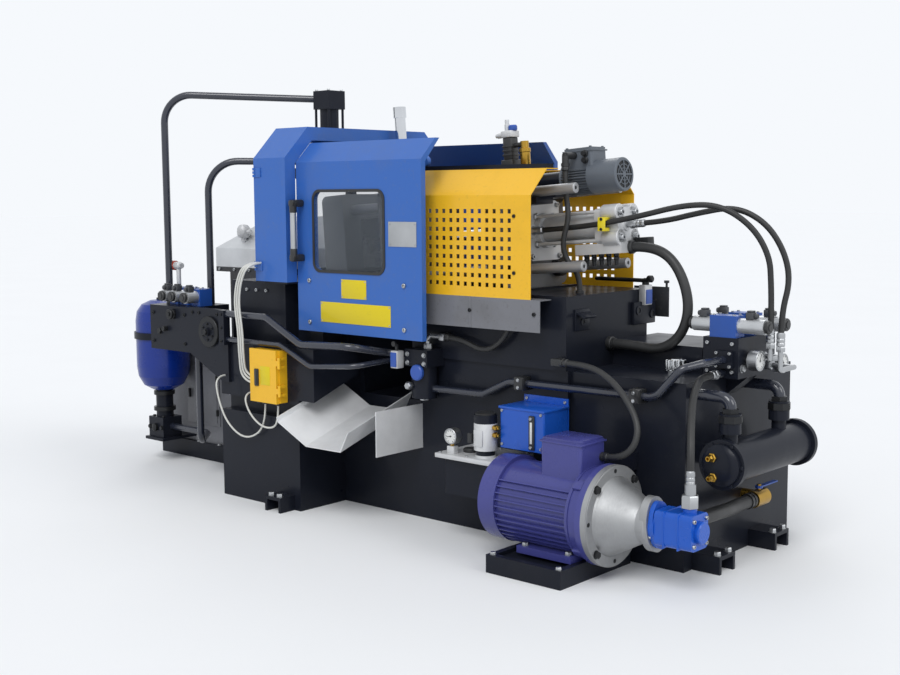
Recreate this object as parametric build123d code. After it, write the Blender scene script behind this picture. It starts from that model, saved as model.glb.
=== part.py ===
from build123d import *
import math
import os

os.makedirs("parts", exist_ok=True)

# Hot-chamber die casting machine. Millimetres, +X towards the oil tank, -Y is the operator side.
# The origin lies on the floor under the clamping axis.

# Driving dimensions of the machine
TILT = 4.2               # the clamping axis rises towards the oil tank
SEAT_Z = 762.0           # height of the inclined floor under the platens, over the origin
BAR_SPACING = 250.0      # tie bars, centre to centre, both ways
BAR_D = 34.0
PLATEN_W = 360.0
PLATEN_H = 366.0
PLATEN_FOOT = 8.0
AXIS_Z = SEAT_Z + PLATEN_FOOT + PLATEN_H / 2
POCKET_HALF = 205.0      # half width of the inclined floor under the platens
STROKE = 150.0           # opening stroke of the moving platen
SHEET = 3.0              # guards and covers
SLIDE_GAP = 0.4          # running clearance round bars, rods and pins
SEAT_GAP = 0.3           # curved faces that only lie near each other

# Bed
BED_X0 = -56.0
BED_X1 = 960.0
BED_LOW_Y = 220.0
BED_LOW_Z = 573.0
BED_TOP_Y = 230.0
BED_TOP_Z = 807.0
BED_BACK_Y = 440.0
LEFT_X0 = -489.0
LEFT_Y = 443.0
LEFT_Z = 590.0
RECESS_Z0 = 330.0
RECESS_Z1 = 386.0
RECESS_DEEP = 43.0
COLUMN_X1 = -188.0
COLUMN_Y = 380.0
NECK_Y = 320.0
COLUMN_Z = 812.0
FOOT_H = 55.0
FOOT_WALL = 12.0

# Oil tank
TANK_X1 = 1378.0
TANK_Y0 = -205.0
TANK_Y1 = 454.0
TANK_Z = 570.0

# Guards, hood and door
HOOD_X0 = -302.0
HOOD_X1 = -131.0
HOOD_Y = 420.0
HOOD_Z0 = 818.0
HOOD_BEND_Z = 1260.0
HOOD_TOP_Z = 1371.0
HOOD_LIP = 48.0
DOOR_X0 = -129.0
DOOR_X1 = 478.0
DOOR_Y = -370.0
DOOR_T = 20.0
DOOR_Z0 = 645.0
GUARD_X0 = 300.0
GUARD_X1 = 865.0
GUARD_Y = 290.0
GUARD_Z0 = 797.0
GUARD_BEND_Z = 1124.0
GUARD_SLOPE = 84.0
GUARD_TOP_Z = GUARD_BEND_Z + GUARD_SLOPE
GUARD_LIP = 60.0
DOOR_BEND_Z = GUARD_TOP_Z + 35.0
DOOR_SLOPE = 70.0
DOOR_TOP_Z = DOOR_BEND_Z + DOOR_SLOPE
RAIL_H = 14.0
APRON_X1 = 902.0
APRON_Z0 = 695.0

# Punched field of the guards
HOLE = 14.0
HOLE_COLUMNS = 16
HOLE_ROWS = 9
HOLE_FIRST_X = GUARD_X0 + 19.5
HOLE_LAST_X = GUARD_X1 - 85.0
HOLE_FIRST_Z = GUARD_Z0 + 40.0
HOLE_LAST_Z = GUARD_BEND_Z - 51.0


def box(x0, x1, y0, y1, z0, z1):
    """A block between two corners."""
    return Pos((x0 + x1) / 2, (y0 + y1) / 2, (z0 + z1) / 2) * Box(x1 - x0, y1 - y0, z1 - z0)


def rod_x(radius, x0, x1, y, z):
    """A round bar along X."""
    return Pos((x0 + x1) / 2, y, z) * Rot(0, 90, 0) * Cylinder(radius, x1 - x0)


def rod_y(radius, y0, y1, x, z):
    """A round bar along Y."""
    return Pos(x, (y0 + y1) / 2, z) * Rot(90, 0, 0) * Cylinder(radius, y1 - y0)


def rod_z(radius, z0, z1, x, y):
    """A round bar along Z."""
    return Pos(x, y, (z0 + z1) / 2) * Cylinder(radius, z1 - z0)


def prism_x(points, x0, x1):
    """A profile in Y and Z, drawn out along X."""
    outline = Polyline(*[(0, y, z) for y, z in points], close=True)
    return Pos(x0, 0, 0) * extrude(make_face(outline), amount=x1 - x0, dir=(1, 0, 0))


def prism_y(points, y0, y1):
    """A profile in X and Z, drawn out along Y."""
    outline = Polyline(*[(x, 0, z) for x, z in points], close=True)
    return Pos(0, y0, 0) * extrude(make_face(outline), amount=y1 - y0, dir=(0, 1, 0))


def pipe(points, radii, radius):
    """A bent pipe through the points, with one bend radius for each inner point."""
    path = FilletPolyline(*points, radius=radii)
    start = Plane(origin=path @ 0, z_dir=path % 0)
    return sweep(start * Circle(radius), path=path)


def hose(points, radius, name):
    """A hose or cable: straight runs joined by arcs as wide as the runs allow."""
    radii = []
    for before, here, after in zip(points, points[1:], points[2:]):
        run_in = Vector(*here) - Vector(*before)
        run_out = Vector(*after) - Vector(*here)
        turn = math.radians(run_in.get_angle(run_out))
        radii.append(min(0.45 * min(run_in.length, run_out.length) / math.tan(turn / 2), 900.0))
    path = FilletPolyline(*points, radius=radii)
    start = Plane(origin=path @ 0, z_dir=path % 0)
    tube = sweep(start * Circle(radius), path=path)
    ratio = tube.volume / (math.pi * radius ** 2 * path.length)
    least = round(min(radii))
    print(name, "diameter", 2 * radius, "length", round(path.length), "least bend", least, round(ratio, 4))
    return tube


def tilted(shape):
    """Puts a shape drawn along the clamping axis into its place on the machine."""
    return Pos(0, 0, AXIS_Z) * Rot(0, -TILT, 0) * shape


def on_axis(s, y, z):
    """The place on the machine of a point given along the clamping axis."""
    turn = math.radians(TILT)
    return (s * math.cos(turn) - z * math.sin(turn), y, AXIS_Z + s * math.sin(turn) + z * math.cos(turn))


def save(shape, name):
    """Writes one sub-part."""
    export_step(shape, f"parts/{name}.step")


def foot_x(x0, x1, y0, y1):
    """A levelling foot of bent channel that points along X, open below."""
    inside = box(x0 - 1, x1 + 1, y0 + FOOT_WALL, y1 - FOOT_WALL, -1, FOOT_H - FOOT_WALL)
    return box(x0, x1, y0, y1, 0, FOOT_H) - inside


def foot_y(x0, x1, y0, y1):
    """A levelling foot of bent channel that points along Y, open below."""
    inside = box(x0 + FOOT_WALL, x1 - FOOT_WALL, y0 - 1, y1 + 1, -1, FOOT_H - FOOT_WALL)
    return box(x0, x1, y0, y1, 0, FOOT_H) - inside


# Bed under the shot end: a welded block, a column that carries the hood, and a console ear
PLATEN_SEAT = -PLATEN_H / 2 - PLATEN_FOOT
pocket = tilted(box(-260, 1200, -POCKET_HALF, POCKET_HALF, PLATEN_SEAT, 700))
left_low = box(LEFT_X0, BED_X0, -LEFT_Y, LEFT_Y, 0, LEFT_Z)
left_low = left_low - box(LEFT_X0 - 1, BED_X0 + 1, -LEFT_Y - 1, -LEFT_Y + RECESS_DEEP, RECESS_Z0, RECESS_Z1)
left_column = box(LEFT_X0, COLUMN_X1, -COLUMN_Y, COLUMN_Y, LEFT_Z, COLUMN_Z)
left_neck = box(COLUMN_X1, BED_X0, -NECK_Y, NECK_Y, LEFT_Z, COLUMN_Z)
hood_seat = box(HOOD_X0, HOOD_X1, -HOOD_Y, HOOD_Y, COLUMN_Z, HOOD_Z0)
left_feet = foot_y(-172, -88, -LEFT_Y - 68, -LEFT_Y) + foot_y(-172, -88, LEFT_Y, LEFT_Y + 68)
save(left_low + left_column + left_neck + hood_seat + left_feet - pocket, "bed_left")

# Console ear, welded to the end of the block beside the drop shaft
EAR_Y1 = -BED_TOP_Y - 1.0
EAR_L = 81.0
ear = prism_x([(-LEFT_Y, 402), (-LEFT_Y, LEFT_Z), (EAR_Y1, LEFT_Z), (EAR_Y1, 480)], BED_X0, BED_X0 + EAR_L)
save(ear, "bed_console")

# Middle bed: a box below, and above it side walls with an inclined floor for the clamp
bed_low = box(BED_X0, BED_X1, -BED_LOW_Y, BED_BACK_Y, 0, BED_LOW_Z)
bed_high = box(BED_X0, BED_X1, -BED_TOP_Y, BED_TOP_Y, BED_LOW_Z, BED_TOP_Z)
seat_wedge = box(560, 700, -POCKET_HALF, POCKET_HALF, BED_TOP_Z - 7, BED_TOP_Z + 80)
drop_shaft = box(-20, 300, -BED_TOP_Y - 10, 190, 400, 900)
chute_mouth = box(-45, 330, -BED_LOW_Y - 10, -150, 300, 500)
save(bed_low + bed_high + seat_wedge - pocket - drop_shaft - chute_mouth, "bed_middle")

# Oil tank with a raised box on its lid, a small box in front and two feet at the end
tank = box(BED_X1, TANK_X1, TANK_Y0, TANK_Y1, 0, TANK_Z)
tank = tank + box(BED_X1, TANK_X1 - 84, 27, 300, TANK_Z, TANK_Z + 80)
tank = tank + box(1165, 1212, TANK_Y0 - 22, TANK_Y0, 292, 346)
tank = tank + foot_x(TANK_X1, TANK_X1 + 94, -158, -66) + foot_x(TANK_X1, TANK_X1 + 94, 188, 280)
save(tank, "oil_tank")

# Pedestal of the main motor
MOTOR_Y = -396.0
MOTOR_Z = 192.0
PEDESTAL_Z = 56.0
pedestal = box(923, 1200, MOTOR_Y - 184, -BED_LOW_Y, 0, PEDESTAL_Z)
save(pedestal - box(945, 1178, MOTOR_Y - 162, -BED_LOW_Y - 15, PEDESTAL_Z - 12, PEDESTAL_Z + 4), "motor_pedestal")

# Furnace: base frame, grey casing at the outer end, dark jacket with a rim, fume hood
FURNACE_Y0 = -100.0
FURNACE_Y1 = 330.0
FURNACE_BASE_Z = 72.0
JACKET_X0 = -850.0
JACKET_Z = 835.0
RIM_X0 = -940.0
CASING_X0 = -1340.0
CASING_Y0 = FURNACE_Y0 + 16.0
CASING_Z = 480.0
save(box(CASING_X0 - 15, LEFT_X0, FURNACE_Y0, FURNACE_Y1, 0, FURNACE_BASE_Z), "furnace_base")
casing = box(CASING_X0, JACKET_X0, CASING_Y0, FURNACE_Y1 - 10, FURNACE_BASE_Z, CASING_Z)
casing = fillet(casing.edges().filter_by(Axis.Z).sort_by(Axis.X)[:2], 18)
save(casing, "furnace_casing")
jacket = box(JACKET_X0, LEFT_X0, FURNACE_Y0, FURNACE_Y1, FURNACE_BASE_Z, JACKET_Z)
save(jacket + box(RIM_X0, LEFT_X0, FURNACE_Y0, FURNACE_Y1, JACKET_Z - 20, JACKET_Z), "furnace_jacket")
FUME_MID_Z = JACKET_Z + 77.0
FUME_TOP_Z = JACKET_Z + 205.0
fume_low = Pos(-720, 115, JACKET_Z) * Rectangle(440, 430)
fume_mid = Pos(-720, 115, FUME_MID_Z) * Rectangle(440, 430)
fume_top = Pos(-640, 110, FUME_TOP_Z) * Rectangle(160, 180)
fume = loft([fume_low, fume_mid]) + loft([fume_mid, fume_top])
save(fume, "fume_hood")

# Clamp: all drawn along the axis and tilted together
bars_at = [(y, z) for y in (-BAR_SPACING / 2, BAR_SPACING / 2) for z in (-BAR_SPACING / 2, BAR_SPACING / 2)]


def platen(s0, s1, bar_gap):
    """A platen with four bored corners."""
    plate = box(s0, s1, -PLATEN_W / 2, PLATEN_W / 2, -PLATEN_H / 2, PLATEN_H / 2)
    plate = fillet(plate.edges().filter_by(Axis.X), 26)
    for y, z in bars_at:
        plate = plate - rod_x(BAR_D / 2 + bar_gap, s0 - 1, s1 + 1, y, z)
    return plate


FIXED_S0 = -190.0
FIXED_S1 = -80.0
DIE_T = 90.0
DIE_HALF = 90.0
PART_S = FIXED_S1 + DIE_T
MOVING_S0 = PART_S + DIE_T
MOVING_S1 = MOVING_S0 + 80
REAR_S0 = 590.0
REAR_S1 = 650.0
BAR_LOW_S1 = 945.0
BAR_HIGH_S1 = 930.0
ROD_R = 22.0
TOP_Z = PLATEN_H / 2

bars = []
for y, z in bars_at:
    bar_end = BAR_LOW_S1 if z < 0 else BAR_HIGH_S1
    bars.append(tilted(rod_x(BAR_D / 2, FIXED_S0 - 40, bar_end, y, z)))
save(Compound(bars), "tie_bars")
fixed = platen(FIXED_S0, FIXED_S1, SEAT_GAP) - rod_x(45, FIXED_S0 - 1, FIXED_S1 + 1, 0, 0)
foot = box(FIXED_S0, FIXED_S1, -150, 150, PLATEN_SEAT, -TOP_Z)
save(tilted(fixed + foot), "fixed_platen")
save(tilted(box(FIXED_S1, PART_S - 0.5, -DIE_HALF, DIE_HALF, -DIE_HALF, DIE_HALF)), "fixed_die")
save(tilted(box(PART_S, MOVING_S0, -DIE_HALF, DIE_HALF, -DIE_HALF, DIE_HALF)), "moving_die")
save(tilted(platen(MOVING_S0, MOVING_S1, SLIDE_GAP)), "moving_platen")
rear = platen(REAR_S0, REAR_S1, SEAT_GAP) - rod_x(ROD_R + SLIDE_GAP, REAR_S0 - 1, REAR_S1 + 1, 0, 0)
rear_foot = box(REAR_S0, REAR_S1, -150, 150, PLATEN_SEAT, -TOP_Z)
save(tilted(rear + rear_foot), "rear_platen")
save(tilted(rod_x(ROD_R, MOVING_S1, REAR_S1 + 60, 0, 0)), "clamp_rod")

# Clamp cylinder: cast head on the rear platen, tube, four tie rods and a squared end cap
HEAD_S1 = REAR_S1 + 50.0
CAP_S0 = 945.0
CAP_S1 = 1035.0
TUBE_R = 43.0
head = fillet(box(REAR_S1, HEAD_S1, -88, 88, -100, 100).edges().filter_by(Axis.X), 22)
head = head + rod_x(58, HEAD_S1, HEAD_S1 + 22, 0, 0)
cylinder = head + rod_x(TUBE_R, HEAD_S1, CAP_S0, 0, 0)
cylinder = cylinder + fillet(box(CAP_S0, CAP_S1, -56, 56, -56, 56).edges().filter_by(Axis.X), 16)
for y in (-46, 46):
    for z in (-46, 46):
        cylinder = cylinder + rod_x(6, HEAD_S1, CAP_S0, y, z)
cylinder = cylinder - rod_x(ROD_R + SLIDE_GAP, REAR_S1 - 1, HEAD_S1 + STROKE + 60, 0, 0)

# Cable block under the cylinder cap
BLOCK_S1 = CAP_S1 + 5.0
cylinder = cylinder + box(CAP_S0 - 85, BLOCK_S1, -50, 50, -90, -56)
save(tilted(cylinder), "clamp_cylinder")

# Die-height drive above the cylinder: gear drum, motor, terminal box and fan cover
DRIVE_Z = 160.0
drum = rod_x(30, REAR_S1, 814, 0, DRIVE_Z) - rod_x(21, 700, 740, 0, DRIVE_Z) + rod_x(24, 699, 741, 0, DRIVE_Z)
save(tilted(drum), "gear_drum")
DRIVE_R = 48.0
DRIVE_FAN_R = 54.0
DRIVE_RIB = 4.0
drive = rod_x(DRIVE_R, 814, 919, 0, DRIVE_Z) + rod_x(DRIVE_FAN_R, 919, 1030, 0, DRIVE_Z)
drive = drive + fillet(box(829, 939, -42, 42, DRIVE_Z + 30, DRIVE_Z + 96).edges().filter_by(Axis.Z), 8)
for k in range(10):
    angle = math.radians(36 * k)
    rib_y = DRIVE_R * math.cos(angle)
    rib_z = DRIVE_Z + DRIVE_R * math.sin(angle)
    if rib_z < DRIVE_Z + 30:
        drive = drive + rod_x(DRIVE_RIB, 816, 921, rib_y, rib_z)
save(tilted(drive), "die_height_motor")

# Air valve unit that stands on the rear platen
unit = box(594, 646, -84, -24, TOP_Z, 243) + box(600, 640, -76, -32, 243, 330) + rod_z(16, 330, 380, 620, -54)
unit = unit + rod_x(7, 636, 680, -54, 290) + rod_z(19, 215, 300, 680, -54) + rod_x(9, 560, 600, -54, 312)
save(tilted(unit), "air_valve_unit")

# Core cylinder on a bracket plate on the fixed platen
core = box(FIXED_S0 + 5, -32, 95, 165, TOP_Z, TOP_Z + 10)
core = core + rod_z(21, TOP_Z + 10, 500, -58, 130)
core = core + rod_z(25, TOP_Z + 10, 230, -58, 130) + rod_z(25, 470, 510, -58, 130)
save(tilted(core), "core_cylinder")


# Hood: a bent sheet arch over the shot end
def arch(half, bend_z, top_half, top_z, z0):
    """Outline of a bent cover in Y and Z, open below."""
    return [(-half, z0), (-half, bend_z), (-top_half, top_z), (top_half, top_z), (half, bend_z), (half, z0)]


def shell_of(points, inner, x0, x1):
    """A bent sheet between an outer and an inner outline."""
    return prism_x(points, x0, x1) - prism_x(inner, x0 - 1, x1 + 1)


HOOD_TOP_Y = HOOD_Y - (HOOD_TOP_Z - HOOD_BEND_Z)
hood_outer = arch(HOOD_Y, HOOD_BEND_Z, HOOD_TOP_Y, HOOD_TOP_Z, HOOD_Z0)
hood_inner = arch(HOOD_Y - SHEET, HOOD_BEND_Z - 1, HOOD_TOP_Y - 1, HOOD_TOP_Z - SHEET, HOOD_Z0 - 1)
hood = shell_of(hood_outer, hood_inner, HOOD_X0, HOOD_X1)
flange_inner = arch(HOOD_Y - HOOD_LIP, HOOD_BEND_Z - 20, HOOD_TOP_Y - 20, HOOD_TOP_Z - HOOD_LIP, HOOD_Z0 - 1)
hood_flange = shell_of(hood_outer, flange_inner, HOOD_X1 - SHEET, HOOD_X1)
hood_back = shell_of(hood_outer, flange_inner, HOOD_X0, HOOD_X0 + SHEET)
save(hood + hood_flange + hood_back, "hood_arch")

# Guards with a punched field of square holes, bent over at the top
GUARD_TOP_Y = GUARD_Y - GUARD_SLOPE
HOLE_PITCH_X = (HOLE_LAST_X - HOLE_FIRST_X) / (HOLE_COLUMNS - 1)
HOLE_PITCH_Z = (HOLE_LAST_Z - HOLE_FIRST_Z) / (HOLE_ROWS - 1)


def guard(side):
    """A bent guard sheet with its field of square holes, on one side of the clamp."""
    outer = [
        (side * GUARD_Y, GUARD_Z0), (side * GUARD_Y, GUARD_BEND_Z), (side * GUARD_TOP_Y, GUARD_TOP_Z),
        (side * (GUARD_TOP_Y - GUARD_LIP), GUARD_TOP_Z), (side * (GUARD_TOP_Y - GUARD_LIP), GUARD_TOP_Z - SHEET),
        (side * (GUARD_TOP_Y - 1), GUARD_TOP_Z - SHEET),
        (side * (GUARD_Y - SHEET), GUARD_BEND_Z - 1), (side * (GUARD_Y - SHEET), GUARD_Z0),
    ]
    middle = side * (GUARD_Y - SHEET / 2)
    holes = []
    for column in range(HOLE_COLUMNS):
        for row in range(HOLE_ROWS):
            x = HOLE_FIRST_X + column * HOLE_PITCH_X
            z = HOLE_FIRST_Z + row * HOLE_PITCH_Z
            holes.append(Pos(x, middle, z) * Box(HOLE, SHEET * 3, HOLE))
    return prism_x(outer, GUARD_X0, GUARD_X1) - holes


RAIL_X0 = -120.0
RAIL_Y0 = -202.0
RAIL_Y1 = -172.0
RAIL_Z = GUARD_TOP_Z + RAIL_H
save(box(RAIL_X0, GUARD_X1, RAIL_Y0, RAIL_Y1, GUARD_TOP_Z, RAIL_Z), "door_rail")
save(Compound([guard(-1), guard(1)]), "guards")

# Sliding door: a folded panel with a window, hung on rollers that run on the rail
DOOR_TOP_Y = DOOR_Y + DOOR_SLOPE
WINDOW_X0 = DOOR_X0 + 89.0
WINDOW_X1 = DOOR_X0 + 434.0
WINDOW_Z0 = DOOR_Z0 + 217.0
WINDOW_Z1 = DOOR_Z0 + 496.0
WINDOW_R = 30.0
PANE_GAP = 0.5
ROLLER_R = 18.0
door_profile = [
    (DOOR_Y, DOOR_Z0), (DOOR_Y, DOOR_BEND_Z), (DOOR_TOP_Y, DOOR_TOP_Z),
    (DOOR_TOP_Y + DOOR_T, DOOR_TOP_Z), (DOOR_Y + DOOR_T, DOOR_BEND_Z - 8), (DOOR_Y + DOOR_T, DOOR_Z0),
]
door = prism_x(door_profile, DOOR_X0, DOOR_X1)
window_cut = box(WINDOW_X0, WINDOW_X1, DOOR_Y - 5, DOOR_Y + DOOR_T + 5, WINDOW_Z0, WINDOW_Z1)
door = door - fillet(window_cut.edges().filter_by(Axis.Y), WINDOW_R)
for x in (20, 330):
    hanger = [
        (DOOR_Y + 25, RAIL_Z + 18), (DOOR_Y + 80, RAIL_Z + 80), (-175, RAIL_Z + 80), (-175, RAIL_Z + 16),
        (-200, RAIL_Z + 16), (-200, RAIL_Z + 53), (DOOR_Y + 80, RAIL_Z + 53), (DOOR_Y + 50, RAIL_Z + 18),
    ]
    door = door + prism_x(hanger, x - 3, x + 3) + rod_y(ROLLER_R, -196, -179, x, RAIL_Z + SEAT_GAP + ROLLER_R)
save(door, "door_panel")
pane = box(
    WINDOW_X0 + PANE_GAP, WINDOW_X1 - PANE_GAP, DOOR_Y + 6, DOOR_Y + 12,
    WINDOW_Z0 + PANE_GAP, WINDOW_Z1 - PANE_GAP,
)
save(fillet(pane.edges().filter_by(Axis.Y), WINDOW_R - PANE_GAP), "door_window")
HANDLE_X = DOOR_X0 + 29.0
HANDLE_Z0 = DOOR_Z0 + 260.0
HANDLE_Z1 = DOOR_Z0 + 455.0
HANDLE_REACH = 45.0
handle_points = [
    (HANDLE_X, DOOR_Y, HANDLE_Z0), (HANDLE_X, DOOR_Y - HANDLE_REACH, HANDLE_Z0),
    (HANDLE_X, DOOR_Y - HANDLE_REACH, HANDLE_Z1), (HANDLE_X, DOOR_Y, HANDLE_Z1),
]
save(pipe(handle_points, [24, 24], 13), "door_handle")

# Fixed cover behind, of the door's profile, on two straps from the rear guard
rear_profile = [(-y, z) for y, z in door_profile]
rear_cover = prism_x(rear_profile, DOOR_X0, DOOR_X1)
for x in (318, 440):
    rear_cover = rear_cover + box(x, x + 24, GUARD_TOP_Y - 30, -DOOR_Y - DOOR_T + 1, GUARD_TOP_Z, GUARD_TOP_Z + 6)
save(rear_cover, "rear_cover")

# Grey aprons under the guards, bolted to the bed
aprons = []
for side in (-1, 1):
    y_out = side * GUARD_Y
    y_in = side * (GUARD_Y - SHEET)
    y_bed = side * BED_TOP_Y
    sheet = box(GUARD_X0, APRON_X1, min(y_out, y_in), max(y_out, y_in), APRON_Z0, GUARD_Z0)
    shelf = box(GUARD_X0, APRON_X1, min(y_out, y_bed), max(y_out, y_bed), GUARD_Z0 - SHEET, GUARD_Z0)
    aprons.append(sheet + shelf)
save(Compound(aprons), "aprons")

# Shot end: two columns with a crosshead, and the shot cylinder on it
SHOT_X = -345.0
CROSS_Z0 = COLUMN_Z + 378.0
CROSS_Z1 = CROSS_Z0 + 40.0
SHOT_CAP_Z = CROSS_Z1 + 55.0
SHOT_BLOCK_Z = CROSS_Z1 + 225.0
SHOT_TOP_Z = SHOT_BLOCK_Z + 70.0
yoke = fillet(box(SHOT_X - 55, SHOT_X + 45, -142, 142, CROSS_Z0, CROSS_Z1).edges().filter_by(Axis.Z), 14)
for y in (-110, 110):
    yoke = yoke + rod_z(22, COLUMN_Z, CROSS_Z0, SHOT_X, y) + rod_z(30, COLUMN_Z, COLUMN_Z + 22, SHOT_X, y)
save(yoke, "shot_yoke")
shot_cap = box(SHOT_X - 45, SHOT_X + 45, -45, 45, CROSS_Z1, SHOT_CAP_Z)
shot_block = box(SHOT_X - 43, SHOT_X + 43, -43, 43, SHOT_BLOCK_Z, SHOT_TOP_Z)
shot = shot_cap + rod_z(36, SHOT_CAP_Z, SHOT_BLOCK_Z, SHOT_X, 0) + shot_block
for x in (SHOT_X - 36, SHOT_X + 36):
    for y in (-36, 36):
        shot = shot + rod_z(5, SHOT_CAP_Z, SHOT_BLOCK_Z, x, y)
save(shot, "shot_cylinder")

# Shot valve block on its bracket plate, which is bolted to the front of the bed
VBLOCK_X0 = -916.0
VBLOCK_X1 = -662.0
VBLOCK_Y0 = -LEFT_Y - 12.0
VBLOCK_Y1 = -260.0
VBLOCK_Z0 = 528.0
VBLOCK_Z1 = 702.0
bracket_points = [(VBLOCK_X1, 705), (-430, 705), (-430, 435), (-470, 435), (VBLOCK_X1, VBLOCK_Z0)]
bracket = prism_y(bracket_points, VBLOCK_Y0, -LEFT_Y)
bracket = bracket + rod_y(38, VBLOCK_Y0 - 12, VBLOCK_Y0, -535, 618) + rod_y(16, VBLOCK_Y0 - 22, VBLOCK_Y0, -535, 618)
bracket = bracket + box(-455, -425, VBLOCK_Y0 - 22, VBLOCK_Y0, 576, 705)
vblock = box(VBLOCK_X0, VBLOCK_X1, VBLOCK_Y0, VBLOCK_Y1, VBLOCK_Z0, VBLOCK_Z1)
vblock = chamfer(vblock.edges().filter_by(Axis.Z).sort_by(Axis.X)[:2], 4)
save(vblock + bracket, "shot_valve_block")

# Solenoid valves: blue bodies, silver coils and black plugs, on the shot block and on the tank manifold
MAN_X0 = TANK_X1 - 48.0
MAN_X1 = TANK_X1 + 72.0
MAN_Y0 = -30.0
MAN_Y1 = 200.0
MAN_Z1 = TANK_Z + 123.0
COIL_R = 23.0
COIL_UP = 36.0
BODY_H = 66.0
bodies = []
coils = []
plugs = []
for x, y0, y1 in ((-845, -388, -330), (-782, -388, -330), (-690, -400, -342)):
    bodies.append(box(x - 27, x + 27, y0, y1, VBLOCK_Z1, VBLOCK_Z1 + BODY_H))
    coils.append(rod_y(COIL_R, y0 - 52, y0, x, VBLOCK_Z1 + COIL_UP))
    plugs.append(box(x - 14, x + 14, y0 - 42, y0 - 14, VBLOCK_Z1 + COIL_UP + COIL_R - 1, VBLOCK_Z1 + 96))
    if x < -700:
        coils.append(rod_y(COIL_R, y1, y1 + 62, x, VBLOCK_Z1 + COIL_UP))
for y in (0, 112):
    bodies.append(box(MAN_X0 + 19, MAN_X1 - 12, y - 26, y + 26, MAN_Z1, MAN_Z1 + BODY_H))
    coils.append(rod_x(COIL_R, MAN_X0 - 47, MAN_X0 + 19, y, MAN_Z1 + COIL_UP))
    coils.append(rod_x(COIL_R, MAN_X1 - 12, MAN_X1 + 74, y, MAN_Z1 + COIL_UP))
    plugs.append(box(MAN_X0 - 30, MAN_X0 + 5, y - 14, y + 14, MAN_Z1 + COIL_UP + COIL_R - 1, MAN_Z1 + 100))
    plugs.append(box(MAN_X1 + 5, MAN_X1 + 42, y - 14, y + 14, MAN_Z1 + COIL_UP + COIL_R - 1, MAN_Z1 + 100))
save(Compound(bodies), "valve_bodies")
plug_cut = Compound(coils)
save(plug_cut, "valve_coils")
knobs = [rod_y(19, VBLOCK_Y0 - 26, VBLOCK_Y0, -763, 672), rod_y(9, VBLOCK_Y0 - 12, VBLOCK_Y0, -808, 612)]
save(Compound([plug - plug_cut for plug in plugs] + knobs), "valve_plugs")

# Manifold on the tank lid, carried past the tank end by a wedge bracket, with a pipe flange and a hose port
MAN_PORT_X = MAN_X0 + 68.0
MAN_PORT_Z = TANK_Z + 15.0
manifold = box(MAN_X0, MAN_X1, MAN_Y0, MAN_Y1, TANK_Z, MAN_Z1)
manifold = manifold + prism_y([(TANK_X1, TANK_Z - 60), (TANK_X1, TANK_Z), (MAN_X1, TANK_Z)], 30, 90)
manifold = manifold + box(MAN_X0 + 48, MAN_X0 + 104, MAN_Y0 - 12, MAN_Y0, TANK_Z + 32, TANK_Z + 84)
manifold = manifold + rod_y(13, MAN_Y0 - 45, MAN_Y0, MAN_PORT_X, MAN_PORT_Z)
save(manifold, "manifold_block")

# Accumulator on its shut-off block, with a clamp band and an arm to the valve block
ACC_X = -1190.0
ACC_Y = -200.0
ACC_R = 111.0
ACC_Z0 = 305.0
acc_points = [
    (0, ACC_Z0), (48, ACC_Z0 + 3), (84, ACC_Z0 + 24), (105, ACC_Z0 + 62), (ACC_R, ACC_Z0 + 104),
    (ACC_R, 604), (105, 642), (84, 672), (48, 688), (0, 692),
]
acc_profile = Plane.XZ * make_face(Polyline(*acc_points, close=True))
save(Pos(ACC_X, ACC_Y, 0) * revolve(acc_profile, Axis.Z), "accumulator")
acc_block = rod_z(36, 186, ACC_Z0, ACC_X, ACC_Y) + box(ACC_X - 50, ACC_X + 50, ACC_Y - 48, ACC_Y + 48, 104, 190)
acc_block = acc_block + box(ACC_X - 62, ACC_X + 62, ACC_Y - 60, CASING_Y0, 92, 104)
band = rod_z(ACC_R + 7, 528, 556, ACC_X, ACC_Y)
band = band + box(ACC_X + 60, VBLOCK_X0, ACC_Y - 98, ACC_Y - 72, 532, 552)
band = band - rod_z(ACC_R + SEAT_GAP, 520, 560, ACC_X, ACC_Y)
save(Compound([acc_block, band]), "accumulator_block")

# Pressure pipes from the valve block: two up to the shot cylinder, one down to the accumulator
PIPE_R = 14.0
pipe_top = pipe([(-890, -375, VBLOCK_Z1), (-890, -375, 1524), (SHOT_X - 10, 0, 1494)], [107], PIPE_R) - shot_block
pipe_low = pipe([(-725, -298, VBLOCK_Z1), (-725, -298, 1262), (SHOT_X, 0, 1256)], [120], PIPE_R) - shot_cap
down_points = [(-760, -340, VBLOCK_Z0), (-760, -340, 150), (-900, ACC_Y, 150), (ACC_X + 50, ACC_Y, 150)]
pipe_down = pipe(down_points, [50, 50], PIPE_R)

# Filter unit on the bed side, and the front pipes that lead to it and on to the manifold
FILTER_X0 = 338.0
FILTER_X1 = 442.0
FILTER_Y = -266.0
filter_head = box(FILTER_X0, FILTER_X1, FILTER_Y - 44, -BED_LOW_Y, 548, 572)
filter_head = filter_head + box(FILTER_X0, FILTER_X1, FILTER_Y - 44, -BED_TOP_Y, 572, 606)
bowl = rod_z(44, 438, 548, (FILTER_X0 + FILTER_X1) / 2, FILTER_Y)
save(filter_head + bowl, "filter_unit")
FRONT_Y = -LEFT_Y - 16.0
high_points = [
    (-425, FRONT_Y, 692), (-205, FRONT_Y, 692), (-25, FRONT_Y, 606), (205, -445, 614),
    (262, FILTER_Y - 26, 582), (FILTER_X0, FILTER_Y - 26, 582),
]
front_high = pipe(high_points, [60, 60, 50, 30], 13)
low_points = [
    (-425, FRONT_Y, 597), (-130, FRONT_Y, 597), (25, FRONT_Y, 533), (225, -440, 548),
    (270, FILTER_Y + 14, 562), (FILTER_X0, FILTER_Y + 14, 562),
]
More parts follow.
